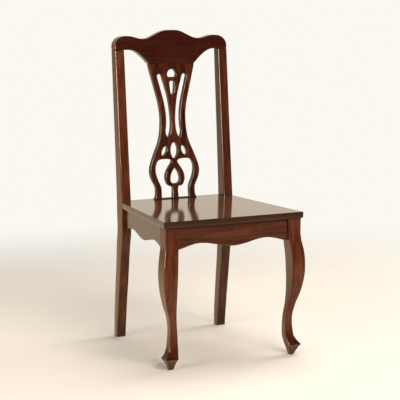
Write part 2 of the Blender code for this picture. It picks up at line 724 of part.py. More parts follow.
def leaf(shares, tilt_degrees):
    """Leaf-shaped opening, pointed at both ends, its foot swung outwards by the tilt."""
    x_share, height_share, width_share, length_share = shares
    centre_x = SPLAT_WAIST_HALF_WIDTH * x_share
    centre_z = splat_height(height_share)
    half_width = SPLAT_WAIST_HALF_WIDTH * width_share
    half_length = SPLAT_HEIGHT * length_share
    tilt = math.radians(tilt_degrees)
    points = []
    for index in range(LEAF_SIDES):
        angle = 2 * math.pi * index / LEAF_SIDES
        across = half_width * math.cos(angle) * abs(math.cos(angle)) ** LEAF_POINT_SHARE
        along = half_length * math.sin(angle)
        points.append((centre_x + across * math.cos(tilt) - along * math.sin(tilt),
                       centre_z + across * math.sin(tilt) + along * math.cos(tilt)))
    return points


def heart_opening():
    """The large opening to the right of the teardrop ring, above the splat's base strip."""
    sill = SEAT_HEIGHT + SPLAT_BASE_STRIP
    inner, outer = [(SPLAT_BELLY_HALF_WIDTH * share, sill) for share in HEART_SILL_SHARES]
    rim = smooth_curve(shared_points(SPLAT_BELLY_HALF_WIDTH, HEART_SHARES), OPENING_STEPS)
    return [inner] + rim + [outer]


def teardrop():
    """Opening in the ring at the foot of the splat."""
    half = smooth_curve(shared_points(SPLAT_BELLY_HALF_WIDTH, TEARDROP_SHARES), OPENING_STEPS)
    return half + [(-x, z) for x, z in reversed(half[1:-1])]


def lean_with_splat(mesh):
    """Shear a body that was made upright, so that it leans back with the splat."""
    for vertex in mesh.verts:
        vertex.co.y += SPLAT_FRONT + SPLAT_LEAN * (vertex.co.z - SEAT_HEIGHT)


def block(half_width, low, high):
    """Outline (x, z) of a block that is as wide to the left as to the right."""
    return [(-half_width, low), (half_width, low), (half_width, high), (-half_width, high)]


def splat_mortises():
    """The hollows in the seat and the crest that take the splat's tenons."""
    mesh = bmesh.new()
    front = SPLAT_CHEEK - GAP
    back = SPLAT_THICKNESS - SPLAT_CHEEK + GAP
    spans = ((SEAT_HEIGHT - SPLAT_SEAT_TENON - GAP, SEAT_HEIGHT + OVERRUN),
             (SPLAT_TOP - OVERRUN, SPLAT_TOP + SPLAT_CREST_TENON + GAP))
    for low, high in spans:
        upright_board(mesh, block(SPLAT_TENON_HALF_WIDTH + GAP, low, high), front, back)
    return mesh


def splat_waste():
    """What is sawn out of the splat: its openings, and the cheeks of its tenons."""
    mesh = bmesh.new()
    outlines = [arched_window(), keyhole_slot(), teardrop(), leaf(MIDDLE_LEAF_SHARES, 0)]
    for side in (-1, 1):
        for outline in (long_slot(), heart_opening(), leaf(SIDE_LEAF_SHARES, SIDE_LEAF_TILT_DEGREES)):
            outlines.append(mirrored(outline, side))
    for outline in outlines:
        upright_board(mesh, outline, -OVERRUN, SPLAT_THICKNESS + OVERRUN)
    reach = SPLAT_TENON_HALF_WIDTH + OVERRUN
    ends = ((SEAT_HEIGHT - SPLAT_SEAT_TENON - OVERRUN, SEAT_HEIGHT + GAP),
            (SPLAT_TOP - GAP, SPLAT_TOP + SPLAT_CREST_TENON + OVERRUN))
    cheeks = ((-OVERRUN, SPLAT_CHEEK), (SPLAT_THICKNESS - SPLAT_CHEEK, SPLAT_THICKNESS + OVERRUN))
    for low, high in ends:
        for front, back in cheeks:
            upright_board(mesh, block(reach, low, high), front, back)
    return mesh


def build_splat():
    """Board cut to its outline, with its openings, tenons and mortises."""
    board = bmesh.new()
    upright_board(board, splat_outline(), 0, SPLAT_THICKNESS)
    waste = splat_waste()
    mortises = splat_mortises()
    for mesh in (board, waste, mortises):
        lean_with_splat(mesh)
    piece("splat", board, FRAME_COLOUR)
    cut(["splat"], cutter("splat_waste", waste))
    cut(["seat_panel", "crest_rail"], cutter("splat_mortises", mortises))


def dowel_joint(prefix, centres, along, radius, set_in, target_names):
    """Dowels across a joint, half their length to each side, and their holes in both pieces."""
    length = 2 * set_in
    profile = ((0, radius - DOWEL_CHAMFER), (DOWEL_CHAMFER, radius),
               (length - DOWEL_CHAMFER, radius), (length, radius - DOWEL_CHAMFER))
    places = [(name, seat_matrix(centre - along * set_in, along)) for name, centre in centres]
    pins(prefix, profile, places, BARE_WOOD_COLOUR, BARE_WOOD_ROUGHNESS, 0)
    holes = bmesh.new()
    for _name, seat in places:
        turned(holes, seat, ((-GAP, radius + GAP), (length + GAP, radius + GAP)))
    cut(target_names, cutter(prefix + "holes", holes))


def apron_dowels(prefix, ends, along, set_in, least_depth, target_names):
    """Two dowels, one above the other, at each end of an apron."""
    centres = []
    for end_name, x, y in ends:
        for level, drop_share in DOWEL_DROP_SHARES:
            centres.append((end_name + "_" + level, Vector((x, y, FRAME_TOP - least_depth * drop_share))))
    dowel_joint(prefix, centres, along, DOWEL_RADIUS, set_in, target_names)


def build_apron_dowels():
    """Dowels between the aprons and the legs. Those of the side aprons stop short of the front ones."""
    across = Vector((1, 0, 0))
    arch_depth = APRON_CENTRE_DEPTH - APRON_ARCH_RISE
    apron_dowels("front_apron_dowel_",
                 (("left", -LEG_INNER, FRONT_APRON_MIDDLE), ("right", LEG_INNER, FRONT_APRON_MIDDLE)),
                 across, DOWEL_SET_IN, arch_depth, ("front_apron", "front_leg_left", "front_leg_right"))
    apron_dowels("rear_apron_dowel_",
                 (("left", -POST_INNER, REAR_APRON_MIDDLE), ("right", POST_INNER, REAR_APRON_MIDDLE)),
                 across, DOWEL_SET_IN, REAR_APRON_DEPTH, ("rear_apron", "rear_leg_left", "rear_leg_right"))
    side_set_in = LEG_BACK - FRONT_APRON_MIDDLE - DOWEL_RADIUS - DOWEL_WALL
    half_width = side_apron_width() / 2
    for side in (-1, 1):
        apron = "side_apron_" + side_name(side)
        legs = ("front_leg_" + side_name(side), "rear_leg_" + side_name(side))
        ends = (("front", side * (side_apron_x(LEG_BACK) - half_width), LEG_BACK),
                ("rear", side * (side_apron_x(POST_FRONT) - half_width), POST_FRONT))
        apron_dowels(apron + "_dowel_", ends, side_apron_direction(side),
                     side_set_in, arch_depth, (apron, *legs))


def build_crest_dowels():
    """Two upright dowels between each post and the crest."""
    middle_x = POST_OUTER - POST_WIDTH / 2
    middle_y = POST_FRONT + POST_TOP_SET_BACK + POST_TOP_DEPTH / 2
    centres = []
    for side in (-1, 1):
        for label, facing in (("front", -1), ("rear", 1)):
            centre = Vector((side * middle_x, middle_y + facing * CREST_DOWEL_PITCH / 2, CREST_JOINT_HEIGHT))
            centres.append((side_name(side) + "_" + label, centre))
    dowel_joint("crest_dowel_", centres, Vector((0, 0, 1)), CREST_DOWEL_RADIUS, DOWEL_SET_IN,
                ("crest_rail", "rear_leg_left", "rear_leg_right"))


def side_apron_inner_x(distance_back):
    """How far out the inner face of the side apron lies."""
    return side_apron_x(distance_back) - side_apron_width()


def block_plan(leg_inner, leg_face, apron_face, facing):
    """Plan of a right corner block, notched round its leg; facing is -1 in front and 1 at the rear."""
    near = apron_face - facing * GAP
    notch = leg_face - facing * GAP
    far = leg_face - facing * CORNER_BLOCK_REACH
    apron_inner = side_apron_inner_x(notch) - GAP
    beside_leg = min(leg_inner - GAP, apron_inner - CORNER_BLOCK_RELIEF)
    return [(beside_leg, near), (beside_leg, notch), (apron_inner, notch),
            (side_apron_inner_x(far) - GAP, far), (leg_inner - CORNER_BLOCK_REACH, near)]


def screw_joint(prefix, suffix, seats, grip, target_names):
    """Screws whose heads bear on their seats, and their holes, with a recess for each head."""
    head = SCREW_HEAD_RADIUS
    shank = SCREW_SHANK_RADIUS
    profile = ((-SCREW_HEAD_HEIGHT, head * SCREW_CROWN_SHARE), (-SCREW_HEAD_HEIGHT / 2, head), (0, head),
               (0, shank), (grip - SCREW_POINT_LENGTH, shank), (grip, shank * SCREW_TIP_SHARE))
    places = [(corner + suffix, seat) for corner, seat in seats]
    pins(prefix, profile, places, STEEL_COLOUR, STEEL_ROUGHNESS, 1)
    holes = bmesh.new()
    for _corner, seat in seats:
        turned(holes, seat, ((-CORNER_BLOCK_REACH, head + GAP), (GAP, head + GAP),
                             (GAP, shank + GAP), (grip + GAP, shank + GAP)))
    cut(target_names, cutter(prefix + "holes" + suffix, holes))


def block_screw_seats(side, facing, leg_inner, leg_face, apron_face):
    """Matrices of a block's two screws, into the front or rear apron and into the side one."""
    height = FRAME_TOP - CORNER_BLOCK_HEIGHT / 2
    across = Vector((0, facing, 0))
    apron_point = Vector((side * (leg_inner - BLOCK_SCREW_OFFSET), apron_face, height))
    side_apron_run = side_apron_direction(side)
    outward = Vector((side * side_apron_run.y, -side * side_apron_run.x, 0))
    place_back = leg_face - facing * BLOCK_SCREW_OFFSET
    side_point = Vector((side * side_apron_inner_x(place_back), place_back, height))
    return (seat_matrix(apron_point - across * BLOCK_SCREW_SEAT, across),
            seat_matrix(side_point - outward * BLOCK_SCREW_SEAT, outward))


def build_corner_blocks():
    """Glue blocks in the four corners, each screwed to both aprons and to the seat."""
    bottom = FRAME_TOP - CORNER_BLOCK_HEIGHT
    names = []
    across_seats, along_seats, upward_seats = [], [], []
    corners = (("front", -1, LEG_INNER, LEG_BACK, FRONT_APRON_BACK),
               ("rear", 1, POST_INNER, POST_FRONT, REAR_APRON_FACE))
    for label, facing, leg_inner, leg_face, apron_face in corners:
        plan = block_plan(leg_inner, leg_face, apron_face, facing)
        for side in (-1, 1):
            corner = label + "_" + side_name(side)
            points = [Vector((side * x, y, bottom)) for x, y in plan]
            mesh = bmesh.new()
            prism(mesh, points, Vector((0, 0, CORNER_BLOCK_HEIGHT)))
            names.append(piece("corner_block_" + corner, mesh, BARE_WOOD_COLOUR, BARE_WOOD_ROUGHNESS).name)
            across, along = block_screw_seats(side, facing, leg_inner, leg_face, apron_face)
            across_seats.append((corner, across))
            along_seats.append((corner, along))
            _leg_end, notch, _leg_side, far_end, near_end = points
            under = notch.lerp((far_end + near_end) / 2, SEAT_SCREW_SHARE) - Vector((0, 0, GAP))
            upward_seats.append((corner, seat_matrix(under, Vector((0, 0, 1)))))
    grip = BLOCK_SCREW_SEAT + BLOCK_SCREW_BITE
    screw_joint("corner_block_screw_", "_across", across_seats, grip, names + ["front_apron", "rear_apron"])
    screw_joint("corner_block_screw_", "_along", along_seats, grip,
                names + ["side_apron_left", "side_apron_right"])
    screw_joint("seat_screw_", "", upward_seats, CORNER_BLOCK_HEIGHT + SEAT_SCREW_BITE,
                names + ["seat_panel"])


def centre_on_origin():
    """Parent the pieces to one empty and move it, so that the origin is under the chair's middle."""
    bpy.context.view_layer.update()
    depths = [(item.matrix_world @ Vector(corner)).y for item in PIECES.values() for corner in item.bound_box]
    chair = bpy.data.objects.new("chair", None)
    bpy.context.scene.collection.objects.link(chair)
    for item in list(PIECES.values()) + CUTTERS:
        item.parent = chair
    chair.location = (0, -(min(depths) + max(depths)) / 2, 0)


PIECES = {}
CUTTERS = []
clear_scene()
build_seat()
for leg_side in (-1, 1):
    build_front_leg(leg_side)
    build_rear_leg(leg_side)
build_aprons()
build_crest()
build_splat()
build_apron_dowels()
build_crest_dowels()
build_corner_blocks()
centre_on_origin()
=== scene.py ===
# %% [markdown]
# A wooden dining chair, dressed for its photograph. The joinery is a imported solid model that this
# lesson loads and never moves. What follows skins finer wood over it, stains and lacquers it, and
# lights it in a small studio. All lengths are in metres, +Z is up and the chair faces -Y.

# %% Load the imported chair
import math

import bmesh
import bpy
import numpy as np
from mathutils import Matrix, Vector
from mathutils.geometry import tessellate_polygon


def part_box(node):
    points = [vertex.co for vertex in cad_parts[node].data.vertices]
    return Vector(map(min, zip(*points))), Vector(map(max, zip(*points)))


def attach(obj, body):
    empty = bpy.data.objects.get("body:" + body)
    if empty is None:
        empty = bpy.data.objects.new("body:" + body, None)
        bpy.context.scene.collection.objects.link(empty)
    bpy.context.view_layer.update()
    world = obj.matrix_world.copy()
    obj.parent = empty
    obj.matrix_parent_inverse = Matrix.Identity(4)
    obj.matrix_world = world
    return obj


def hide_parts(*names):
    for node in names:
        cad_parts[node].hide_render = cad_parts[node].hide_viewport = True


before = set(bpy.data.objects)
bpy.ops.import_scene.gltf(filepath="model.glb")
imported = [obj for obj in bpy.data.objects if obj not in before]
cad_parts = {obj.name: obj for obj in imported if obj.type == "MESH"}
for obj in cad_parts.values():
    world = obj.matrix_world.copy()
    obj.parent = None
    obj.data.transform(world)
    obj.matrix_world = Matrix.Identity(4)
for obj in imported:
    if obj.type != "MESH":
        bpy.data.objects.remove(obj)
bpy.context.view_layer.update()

MM = 0.001

# %% [markdown]
# ## Camera
# A product photographer stands well back with a long lens, so the legs stay nearly parallel. The
# camera here looks at a point in the middle of the chair from a given distance. It is turned a
# little to the chair's right hand and raised a little above it. A small shift then frames the
# picture and leaves the view as it is.

# %% Camera at the photograph's angle
LOOK_AT = Vector((-0.0124, -0.0387, 0.4743))
CAMERA_DISTANCE = 4.3165
CAMERA_AZIMUTH = math.radians(-25.98)
CAMERA_ELEVATION = math.radians(8.589)
LENS_MM, SENSOR_MM = 124.75, 36
SHIFT_X, SHIFT_Y = -0.00585, 0.0007


def put_in_scene(name, data):
    """A new object of the scene that holds this camera, light or mesh."""
    thing = bpy.data.objects.new(name, data)
    bpy.context.scene.collection.objects.link(thing)
    return thing


backwards = Vector((math.sin(CAMERA_AZIMUTH) * math.cos(CAMERA_ELEVATION),
                    -math.cos(CAMERA_AZIMUTH) * math.cos(CAMERA_ELEVATION),
                    math.sin(CAMERA_ELEVATION)))
camera_data = bpy.data.cameras.new("camera")
camera_data.lens, camera_data.sensor_width = LENS_MM, SENSOR_MM
camera_data.shift_x, camera_data.shift_y = SHIFT_X, SHIFT_Y
camera = put_in_scene("camera", camera_data)
camera.location = LOOK_AT + backwards * CAMERA_DISTANCE
camera.rotation_euler = backwards.to_track_quat("Z", "Y").to_euler()
bpy.context.scene.camera = camera
print("camera height:", round(camera.location.z, 3), "m")

# %% [markdown]
# ## Reading the solids
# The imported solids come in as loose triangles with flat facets, so a copy is welded first. A leg
# or the crest was made by skinning sections, so it can be read back as a list of section boxes. A
# place counts as a section only if its ring of corners reaches as far as a cut through the solid
# there, which leaves out the rims of dowel holes.

# %% Weld a copy and read its sections
WELD_DISTANCE = 0.01 * MM
PLACE_DECIMALS, SAME_PLACE, SAME_SIZE = 5, 0.015 * MM, 0.05 * MM
LEAST_CORNERS = 6


def welded(node):
    """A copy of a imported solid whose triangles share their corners."""
    mesh = bmesh.new()
    mesh.from_mesh(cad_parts[node].data)
    bmesh.ops.remove_doubles(mesh, verts=mesh.verts, dist=WELD_DISTANCE)
    mesh.verts.index_update()
    return mesh


def sections(node, axis):
    """Whole sections along an axis of the solid, as (place, lowest, highest, cut)."""
    mesh = welded(node)
    corners = np.array([vertex.co for vertex in mesh.verts])
    ends = corners[[[vertex.index for vertex in edge.verts] for edge in mesh.edges]]
    mesh.free()
    found = []
    for place in np.unique(np.round(corners[:, axis], PLACE_DECIMALS)):
        ring = corners[abs(corners[:, axis] - place) < SAME_PLACE]
        crossed = ends[(ends[..., axis].min(1) < place) & (ends[..., axis].max(1) > place)]
        share = (place - crossed[:, 0, axis]) / (crossed[:, 1, axis] - crossed[:, 0, axis])
        cut = np.vstack([ring, crossed[:, 0] + share[:, None] * (crossed[:, 1] - crossed[:, 0])])
        whole = len(ring) >= LEAST_CORNERS and (cut.max(0) < ring.max(0) + SAME_SIZE).all()
        if whole and (not found or place - found[-1][0] > SAME_SIZE):
            found.append((place, cut.min(0), cut.max(0), cut))
    return found


print("front leg sections:", len(sections("front_leg_left", 2)))

# %% [markdown]
# ## Smooth curves
# A maker's spokeshave leaves a fair curve where the solid has short facets. A cubic through the
# measured points brings it back: at each point the curve takes the direction of the parabola
# through its neighbours, unless the outline has a real corner there, as at the rim of a foot.

# %% A fair curve through measured points
CURVE_STEPS = 3


def fair_curve(points, creases=(), closed=False):
    """Cubic through the points, in a few steps to a span, free to turn sharply at a crease."""
    points = np.asarray(points, float)
    if closed:
        points = np.vstack([points, points[:1]])
    runs = np.linalg.norm(np.diff(points, axis=0), axis=1)[:, None]
    slopes = np.diff(points, axis=0) / runs
    count = len(runs)
    curve = []
    for span in range(count):
        tangents = []
        for knot in (span, span + 1):
            before, after = (knot - 1) % count, knot % count
            if after in creases or (not closed and knot in (0, count)):
                tangents.append(slopes[span])
            else:
                tangents.append((slopes[before] * runs[after] + slopes[after] * runs[before])
                                / (runs[before] + runs[after]))
        for step in range(CURVE_STEPS):
            t = step / CURVE_STEPS
            start_pull, end_pull = t * (1 - t) ** 2, t * t * (1 - t)
            curve.append((1 + 2 * t) * (1 - t) ** 2 * points[span]
                         + t * t * (3 - 2 * t) * points[span + 1]
                         + runs[span] * (start_pull * tangents[0] - end_pull * tangents[1]))
    if not closed:
        curve.append(points[-1])
    return np.array(curve)


print("curve over a roof:", fair_curve([(0, 0), (1, 1), (2, 0)]).round(2).tolist())

# %% [markdown]
# ## Rounds and skins
# Nearly every edge of the chair is a quarter round, so one function gives the rows of any of them,
# also of one that is taller than it is wide. A leg or the crest is a stack of rounded sections
# with a skin over them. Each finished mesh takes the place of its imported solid.

# %% Rounds
CORNER_POINTS = 5


def rounded_section(low, high, radius):
    """Corners of a rounded rectangle, as two-part places."""
    ring = []
    for quarter, (right, far) in enumerate(((1, 1), (0, 1), (0, 0), (1, 0))):
        centre_x = (high[0] - radius) if right else (low[0] + radius)
        centre_y = (high[1] - radius) if far else (low[1] + radius)
        for step in range(CORNER_POINTS):
            angle = (quarter + step / (CORNER_POINTS - 1)) * math.pi / 2
            ring.append((centre_x + radius * math.cos(angle), centre_y + radius * math.sin(angle)))
    return ring


def quarter_round(width, height, steps):
    """Rows of an eased edge from its flat face to its wall, as (distance inwards, depth)."""
    return [(width * (1 - math.sin(angle)), height * (1 - math.cos(angle)))
            for angle in np.radians(np.linspace(0, 90, steps + 1))]


print("corners of a rounded section:", len(rounded_section((0, 0), (1, 1), 0.1)))

# %% Skins and finished pieces
SHARP_DEGREES, FLAT_WEIGHT = 50, 80


def strip(mesh, lower, upper):
    """The faces between two closed rows of corners."""
    return [mesh.faces.new((lower[index - 1], lower[index], upper[index], upper[index - 1]))
            for index in range(len(lower))]


def skin(rings):
    """One closed body over rings that all have the same number of points."""
    mesh = bmesh.new()
    rows = [[mesh.verts.new(point) for point in ring] for ring in rings]
    for lower, upper in zip(rows, rows[1:]):
        strip(mesh, lower, upper)
    mesh.faces.new(rows[0])
    mesh.faces.new(rows[-1])
    return mesh


def wooden(node, mesh, looks):
    """Hand a finished mesh over, with its finishes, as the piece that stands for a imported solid."""
    bmesh.ops.recalc_face_normals(mesh, faces=mesh.faces)
    data = bpy.data.meshes.new(node + "_shaped")
    mesh.to_mesh(data)
    mesh.free()
    data.shade_smooth()
    data.set_sharp_from_angle(angle=math.radians(SHARP_DEGREES))
    for look in looks:
        data.materials.append(look)
    piece = put_in_scene(node + "_shaped", data)
    shading = piece.modifiers.new("flat_faces_stay_flat", "WEIGHTED_NORMAL")
    shading.weight, shading.keep_sharp = FLAT_WEIGHT, True
    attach(piece, "root")
    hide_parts(node)
    print(piece.name, len(data.polygons), "faces")

# %% [markdown]
# ## Colours and nodes
# Colours are written as the hex values that a paint chart or a picture editor gives. Shaders work
# in linear light, so one function converts them. A second small function adds a shader node, sets
# its options and sockets, and links what feeds it, so a finish reads from top to bottom.

# %% Colour and node helpers
def linear(hex_colour):
    """An sRGB hex colour as the linear red, green, blue and alpha that shaders use."""
    channels = [int(hex_colour[place:place + 2], 16) / 255 for place in (1, 3, 5)]
    return [c / 12.92 if c <= 0.04045 else ((c + 0.055) / 1.055) ** 2.4 for c in channels] + [1]


def add(tree, kind, options=None, values=None, links=None, stops=()):
    """Add one node: its options, its socket values, the outputs that feed it, its ramp's stops."""
    node = tree.nodes.new(kind)
    for key, value in (options or {}).items():
        setattr(node, key, value)
    for key, value in (values or {}).items():
        node.inputs[key].default_value = value
    for key, output in (links or {}).items():
        tree.links.new(output, node.inputs[key])
    for index, (place, hex_colour) in enumerate(stops):
        elements = node.color_ramp.elements
        element = elements[index] if index < len(elements) else elements.new(place)
        element.position, element.color = place, linear(hex_colour)
    return node


def blank_material(name):
    """A new material whose node tree is empty."""
    material = bpy.data.materials.new(name)
    material.use_nodes = True
    material.node_tree.nodes.clear()
    return material


print("sRGB #808080 is linear", round(linear("#808080")[0], 3))

# %% [markdown]
# ## Studio
# The chair stands on a pale floor that fades into a pale surround. Lacquer mirrors whatever stands
# round it, so the surround has its own brightness by direction, which only reflections and bounced
# light see. A bright wall behind the chair whitens the seat, and dims towards the ceiling. On the
# chair's right hand it is dimmer, more so higher up, and greys the sides. A dark room in front
# keeps the stain on the front faces deep. The floor is warm, and brightest right under the chair.

# %% Brightness of the surround
WALL_GLOW, ROOM_GLOW, CEILING_SHARE = 1.07, 0.06, 0.2
SIDE_WALL_TOP, SIDE_WALL_FOOT = 0.35, 0.86
FLOOR_GLOW, NEAR_FLOOR_GLOW, FAR_FLOOR_SHARE = 1.2, 0.55, 0.5
BOUNCED_SHARE = 0.45
SURROUND_PALE, WALL_TINT, FLOOR_TINT = "#FBF8F1", "#FFF2DD", "#FFE5BE"
# Each soft step: the direction's axis, where it starts and ends, and the value on either side.
SURROUND_STEPS = {
    "behind": ("Y", 0.35, 0.85, ROOM_GLOW, WALL_GLOW),
    "overhead": ("Z", 0.25, 0.65, 1, CEILING_SHARE),
    "beside": ("X", -0.2, -0.42, 0, 1),
    "side_loss": ("Z", 0.08, -0.22, SIDE_WALL_TOP - 1, SIDE_WALL_FOOT - 1),
    "below": ("Z", -0.06, -0.30, 0, 1),
    "floor_glow": ("Y", -0.7, 0, NEAR_FLOOR_GLOW, FLOOR_GLOW),
    "deep": ("Z", -0.38, -0.46, 0, 1),
    "far_loss": ("Y", 0.3, 0.8, 0, FAR_FLOOR_SHARE - 1),
    "warmth": ("Z", 0.02, -0.20, 0, 1),
}
# Each sum joins two of the values above it. MULTIPLY_ADD also adds one, the others don't read it.
SURROUND_SUMS = (
    ("wall", "MULTIPLY", "behind", "overhead"),
    ("side_share", "MULTIPLY_ADD", "beside", "side_loss"),
    ("lit_wall", "MULTIPLY", "wall", "side_share"),
    ("far_share", "MULTIPLY_ADD", "deep", "far_loss"),
    ("lit_floor", "MULTIPLY", "floor_glow", "far_share"),
    ("warmest", "MAXIMUM", "warmth", "beside"),
)
print("surround: wall", WALL_GLOW, "room", ROOM_GLOW, "floor", FLOOR_GLOW)

# %% Surround by direction
world = bpy.data.worlds.new("studio")
bpy.context.scene.world = world
world.use_nodes = True
tree = world.node_tree
tree.nodes.clear()
direction = add(tree, "ShaderNodeTexCoord").outputs["Generated"]
parts = add(tree, "ShaderNodeSeparateXYZ", links={"Vector": direction}).outputs
level = {}
for name, (axis, start, end, before, after) in SURROUND_STEPS.items():
    level[name] = add(tree, "ShaderNodeMapRange", {"interpolation_type": "SMOOTHSTEP"},
                      {"From Min": start, "From Max": end, "To Min": before, "To Max": after},
                      {"Value": parts[axis]}).outputs["Result"]
for name, operation, one, other in SURROUND_SUMS:
    level[name] = add(tree, "ShaderNodeMath", {"operation": operation}, {2: 1},
                      {0: level[one], 1: level[other]}).outputs["Value"]
print("steps and sums:", ", ".join(level))

# %% Surround for the lacquer and for the camera
glow = add(tree, "ShaderNodeMix", links={"Factor": level["below"], "A": level["lit_wall"],
                                         "B": level["lit_floor"]})
tint = add(tree, "ShaderNodeMix", {"data_type": "RGBA"},
           {"A": linear(WALL_TINT), "B": linear(FLOOR_TINT)}, {"Factor": level["warmest"]})
seen = add(tree, "ShaderNodeLightPath")
bounced = add(tree, "ShaderNodeMath", {"operation": "MULTIPLY_ADD"}, {1: BOUNCED_SHARE - 1, 2: 1},
              {0: seen.outputs["Is Diffuse Ray"]})
strength = add(tree, "ShaderNodeMath", {"operation": "MULTIPLY"},
               links={0: glow.outputs["Result"], 1: bounced.outputs["Value"]})
studio = add(tree, "ShaderNodeBackground",
             links={"Color": tint.outputs["Result"], "Strength": strength.outputs["Value"]})
plain = add(tree, "ShaderNodeBackground", values={"Color": linear(SURROUND_PALE), "Strength": 1})
both = add(tree, "ShaderNodeMixShader", links={0: seen.outputs["Is Camera Ray"],
                                               1: studio.outputs["Background"],
                                               2: plain.outputs["Background"]})
add(tree, "ShaderNodeOutputWorld", links={"Surface": both.outputs["Shader"]})
bpy.context.scene.view_settings.view_transform = "Standard"
print("nodes in the surround:", len(tree.nodes))

# %% [markdown]
# ## Lights
# Four large soft boxes stand on the left, in front, overhead and on the right. They light the
# colour of the wood evenly and don't show in the lacquer, which mirrors the surround instead. A
# tall strip at the picture's left does the opposite: it shows only in the lacquer, where it draws
# a bright line down every rounded arris.

# %% Softboxes
# Each softbox: its place, width, height, watts and colour, and the setting that hides it from
# rays.
SOFTBOXES = {
    "left_softbox": ((-2.3, -0.6, 0.9), 0.9, 1.8, 28, "#FFF4E4", "visible_glossy"),
    "front_softbox": ((0.2, -2.5, 2.1), 1.6, 1.2, 66, "#FFF3E4", "visible_glossy"),
    "top_softbox": ((0.6, 0.4, 3.0), 2.0, 2.0, 56, "#FFF8EE", "visible_glossy"),
    "right_softbox": ((2.8, 0.6, 1.8), 1.4, 1.4, 38, "#FFF8EE", "visible_glossy"),
    "arris_strip": ((-3.3, -1.6, 1.7), 1.0, 2.2, 420, "#FFF0E0", "visible_diffuse"),
}
for name, (place, width, height, watts, colour, hidden_by) in SOFTBOXES.items():
    light_data = bpy.data.lights.new(name, "AREA")
    light_data.shape = "RECTANGLE"
    light_data.size, light_data.size_y = width, height
    light_data.energy = watts
    light_data.color = linear(colour)[:3]
    light = put_in_scene(name, light_data)
    light.location = place
    light.rotation_euler = (Vector(place) - LOOK_AT).to_track_quat("Z", "Y").to_euler()
    setattr(light, hidden_by, False)
    print(name, watts, "W")

# %% [markdown]
# ## Floor
# A wide disc of matt paint. It turns clear towards its rim, so it has no edge and runs over into
# the surround. The lacquer doesn't see it, because the surround has a floor of its own.

# %% Floor
FLOOR_RADIUS, FLOOR_SIDES = 6.0, 96
floor_mesh = bmesh.new()
bmesh.ops.create_circle(floor_mesh, cap_ends=True, segments=FLOOR_SIDES, radius=FLOOR_RADIUS)
floor_data = bpy.data.meshes.new("floor")
floor_mesh.to_mesh(floor_data)
floor_mesh.free()
floor = put_in_scene("floor", floor_data)
floor.visible_glossy = False
print("floor:", FLOOR_RADIUS, "m in radius")

# %% Matt floor paint
FLOOR_PAINT = "#F2EEE8"
FADE_START, FADE_END = 0.7, 2.6
paint = blank_material("matt_floor_paint")
tree = paint.node_tree
here = add(tree, "ShaderNodeTexCoord").outputs["Object"]
distance = add(tree, "ShaderNodeVectorMath", {"operation": "LENGTH"}, links={0: here})
fade = add(tree, "ShaderNodeMapRange", {"interpolation_type": "SMOOTHERSTEP"},
           {"From Min": FADE_START, "From Max": FADE_END}, {"Value": distance.outputs["Value"]})
matt = add(tree, "ShaderNodeBsdfDiffuse", values={"Color": linear(FLOOR_PAINT)})
clear = add(tree, "ShaderNodeBsdfTransparent")
faded = add(tree, "ShaderNodeMixShader", links={0: fade.outputs["Result"], 1: matt.outputs["BSDF"],
                                                2: clear.outputs["BSDF"]})
add(tree, "ShaderNodeOutputMaterial", links={"Surface": faded.outputs["Shader"]})
floor_data.materials.append(paint)
print("floor paint turns clear from", FADE_START, "to", FADE_END, "m")

# %% [markdown]
# ## Stained and lacquered hardwood
# The chair is a close-grained hardwood stained like mahogany and sprayed with semi-gloss lacquer.
# Solid wood is a block of growth rings, so the colour is worked out in space and not painted on:
# where a leg curves, the rings come out as flames by themselves. Streaks run along the grain,
# clouds are where the stain took better, and fine pores are dark dashes. A noise gives each its
# spots, and a stretched copy of the space gives the spots their length.

# %% Grain in space
RING_SPACING = 5 * MM
# Blender's wave of rings runs through 20 radians in one unit, so this is the width of one ring.
WAVE_WIDTH = 2 * math.pi / 20
DRIFT_SCALE, DRIFT = 5, 14 * MM
SPOT_ROUGHNESS = 0.55
# Each pattern: the width and length of its spots, and how much fine detail they have. Real pores
# are a tenth of a millimetre wide. They are drawn ten times as coarse, so that they show.
GRAIN_PATTERNS = {
    "streaks": (9 * MM, 200 * MM, 2),
    "clouds": (60 * MM, 120 * MM, 2),
    "pores": (1.0 * MM, 22 * MM, 1),
}
GRAIN_TURN = {"x": (0, math.pi / 2, 0), "y": (math.pi / 2, 0, 0), "z": (0, 0, 0)}
GRAIN_AXIS = {"x": (1, 0, 0), "y": (0, 1, 0), "z": (0, 0, 1)}


def grain_spots(tree, space, patterns):
    """Spots as wide and as long as a table says, which lie along the grain."""
    spots = {}
    for name, (width, length, detail) in patterns.items():
        scaled = add(tree, "ShaderNodeMapping",
                     values={"Scale": (1 / width, 1 / width, 1 / length)}, links={"Vector": space})
        spots[name] = add(tree, "ShaderNodeTexNoise",
                          values={"Scale": 1, "Detail": detail, "Roughness": SPOT_ROUGHNESS},
                          links={"Vector": scaled.outputs["Vector"]}).outputs["Fac"]
    return spots


def grain_figure(tree, grain):
    """Growth rings, streaks, clouds and pores of wood that grew along one axis of the chair."""
    here = add(tree, "ShaderNodeTexCoord").outputs["Object"]
    turned = add(tree, "ShaderNodeMapping", values={"Rotation": GRAIN_TURN[grain]},
                 links={"Vector": here}).outputs["Vector"]
    drift = add(tree, "ShaderNodeTexNoise", values={"Scale": DRIFT_SCALE, "Detail": 1},
                links={"Vector": turned})
    space = add(tree, "ShaderNodeVectorMath", {"operation": "MULTIPLY_ADD"}, {1: (DRIFT, DRIFT, 0)},
                {0: drift.outputs["Color"], 2: turned}).outputs["Vector"]
    figure = grain_spots(tree, space, GRAIN_PATTERNS)
    figure["rings"] = add(tree, "ShaderNodeTexWave", {"wave_type": "RINGS", "rings_direction": "Z"},
                          {"Scale": WAVE_WIDTH / RING_SPACING, "Distortion": 3.0, "Detail": 2,
                           "Detail Scale": 0.6}, {"Vector": space}).outputs["Fac"]
    return figure


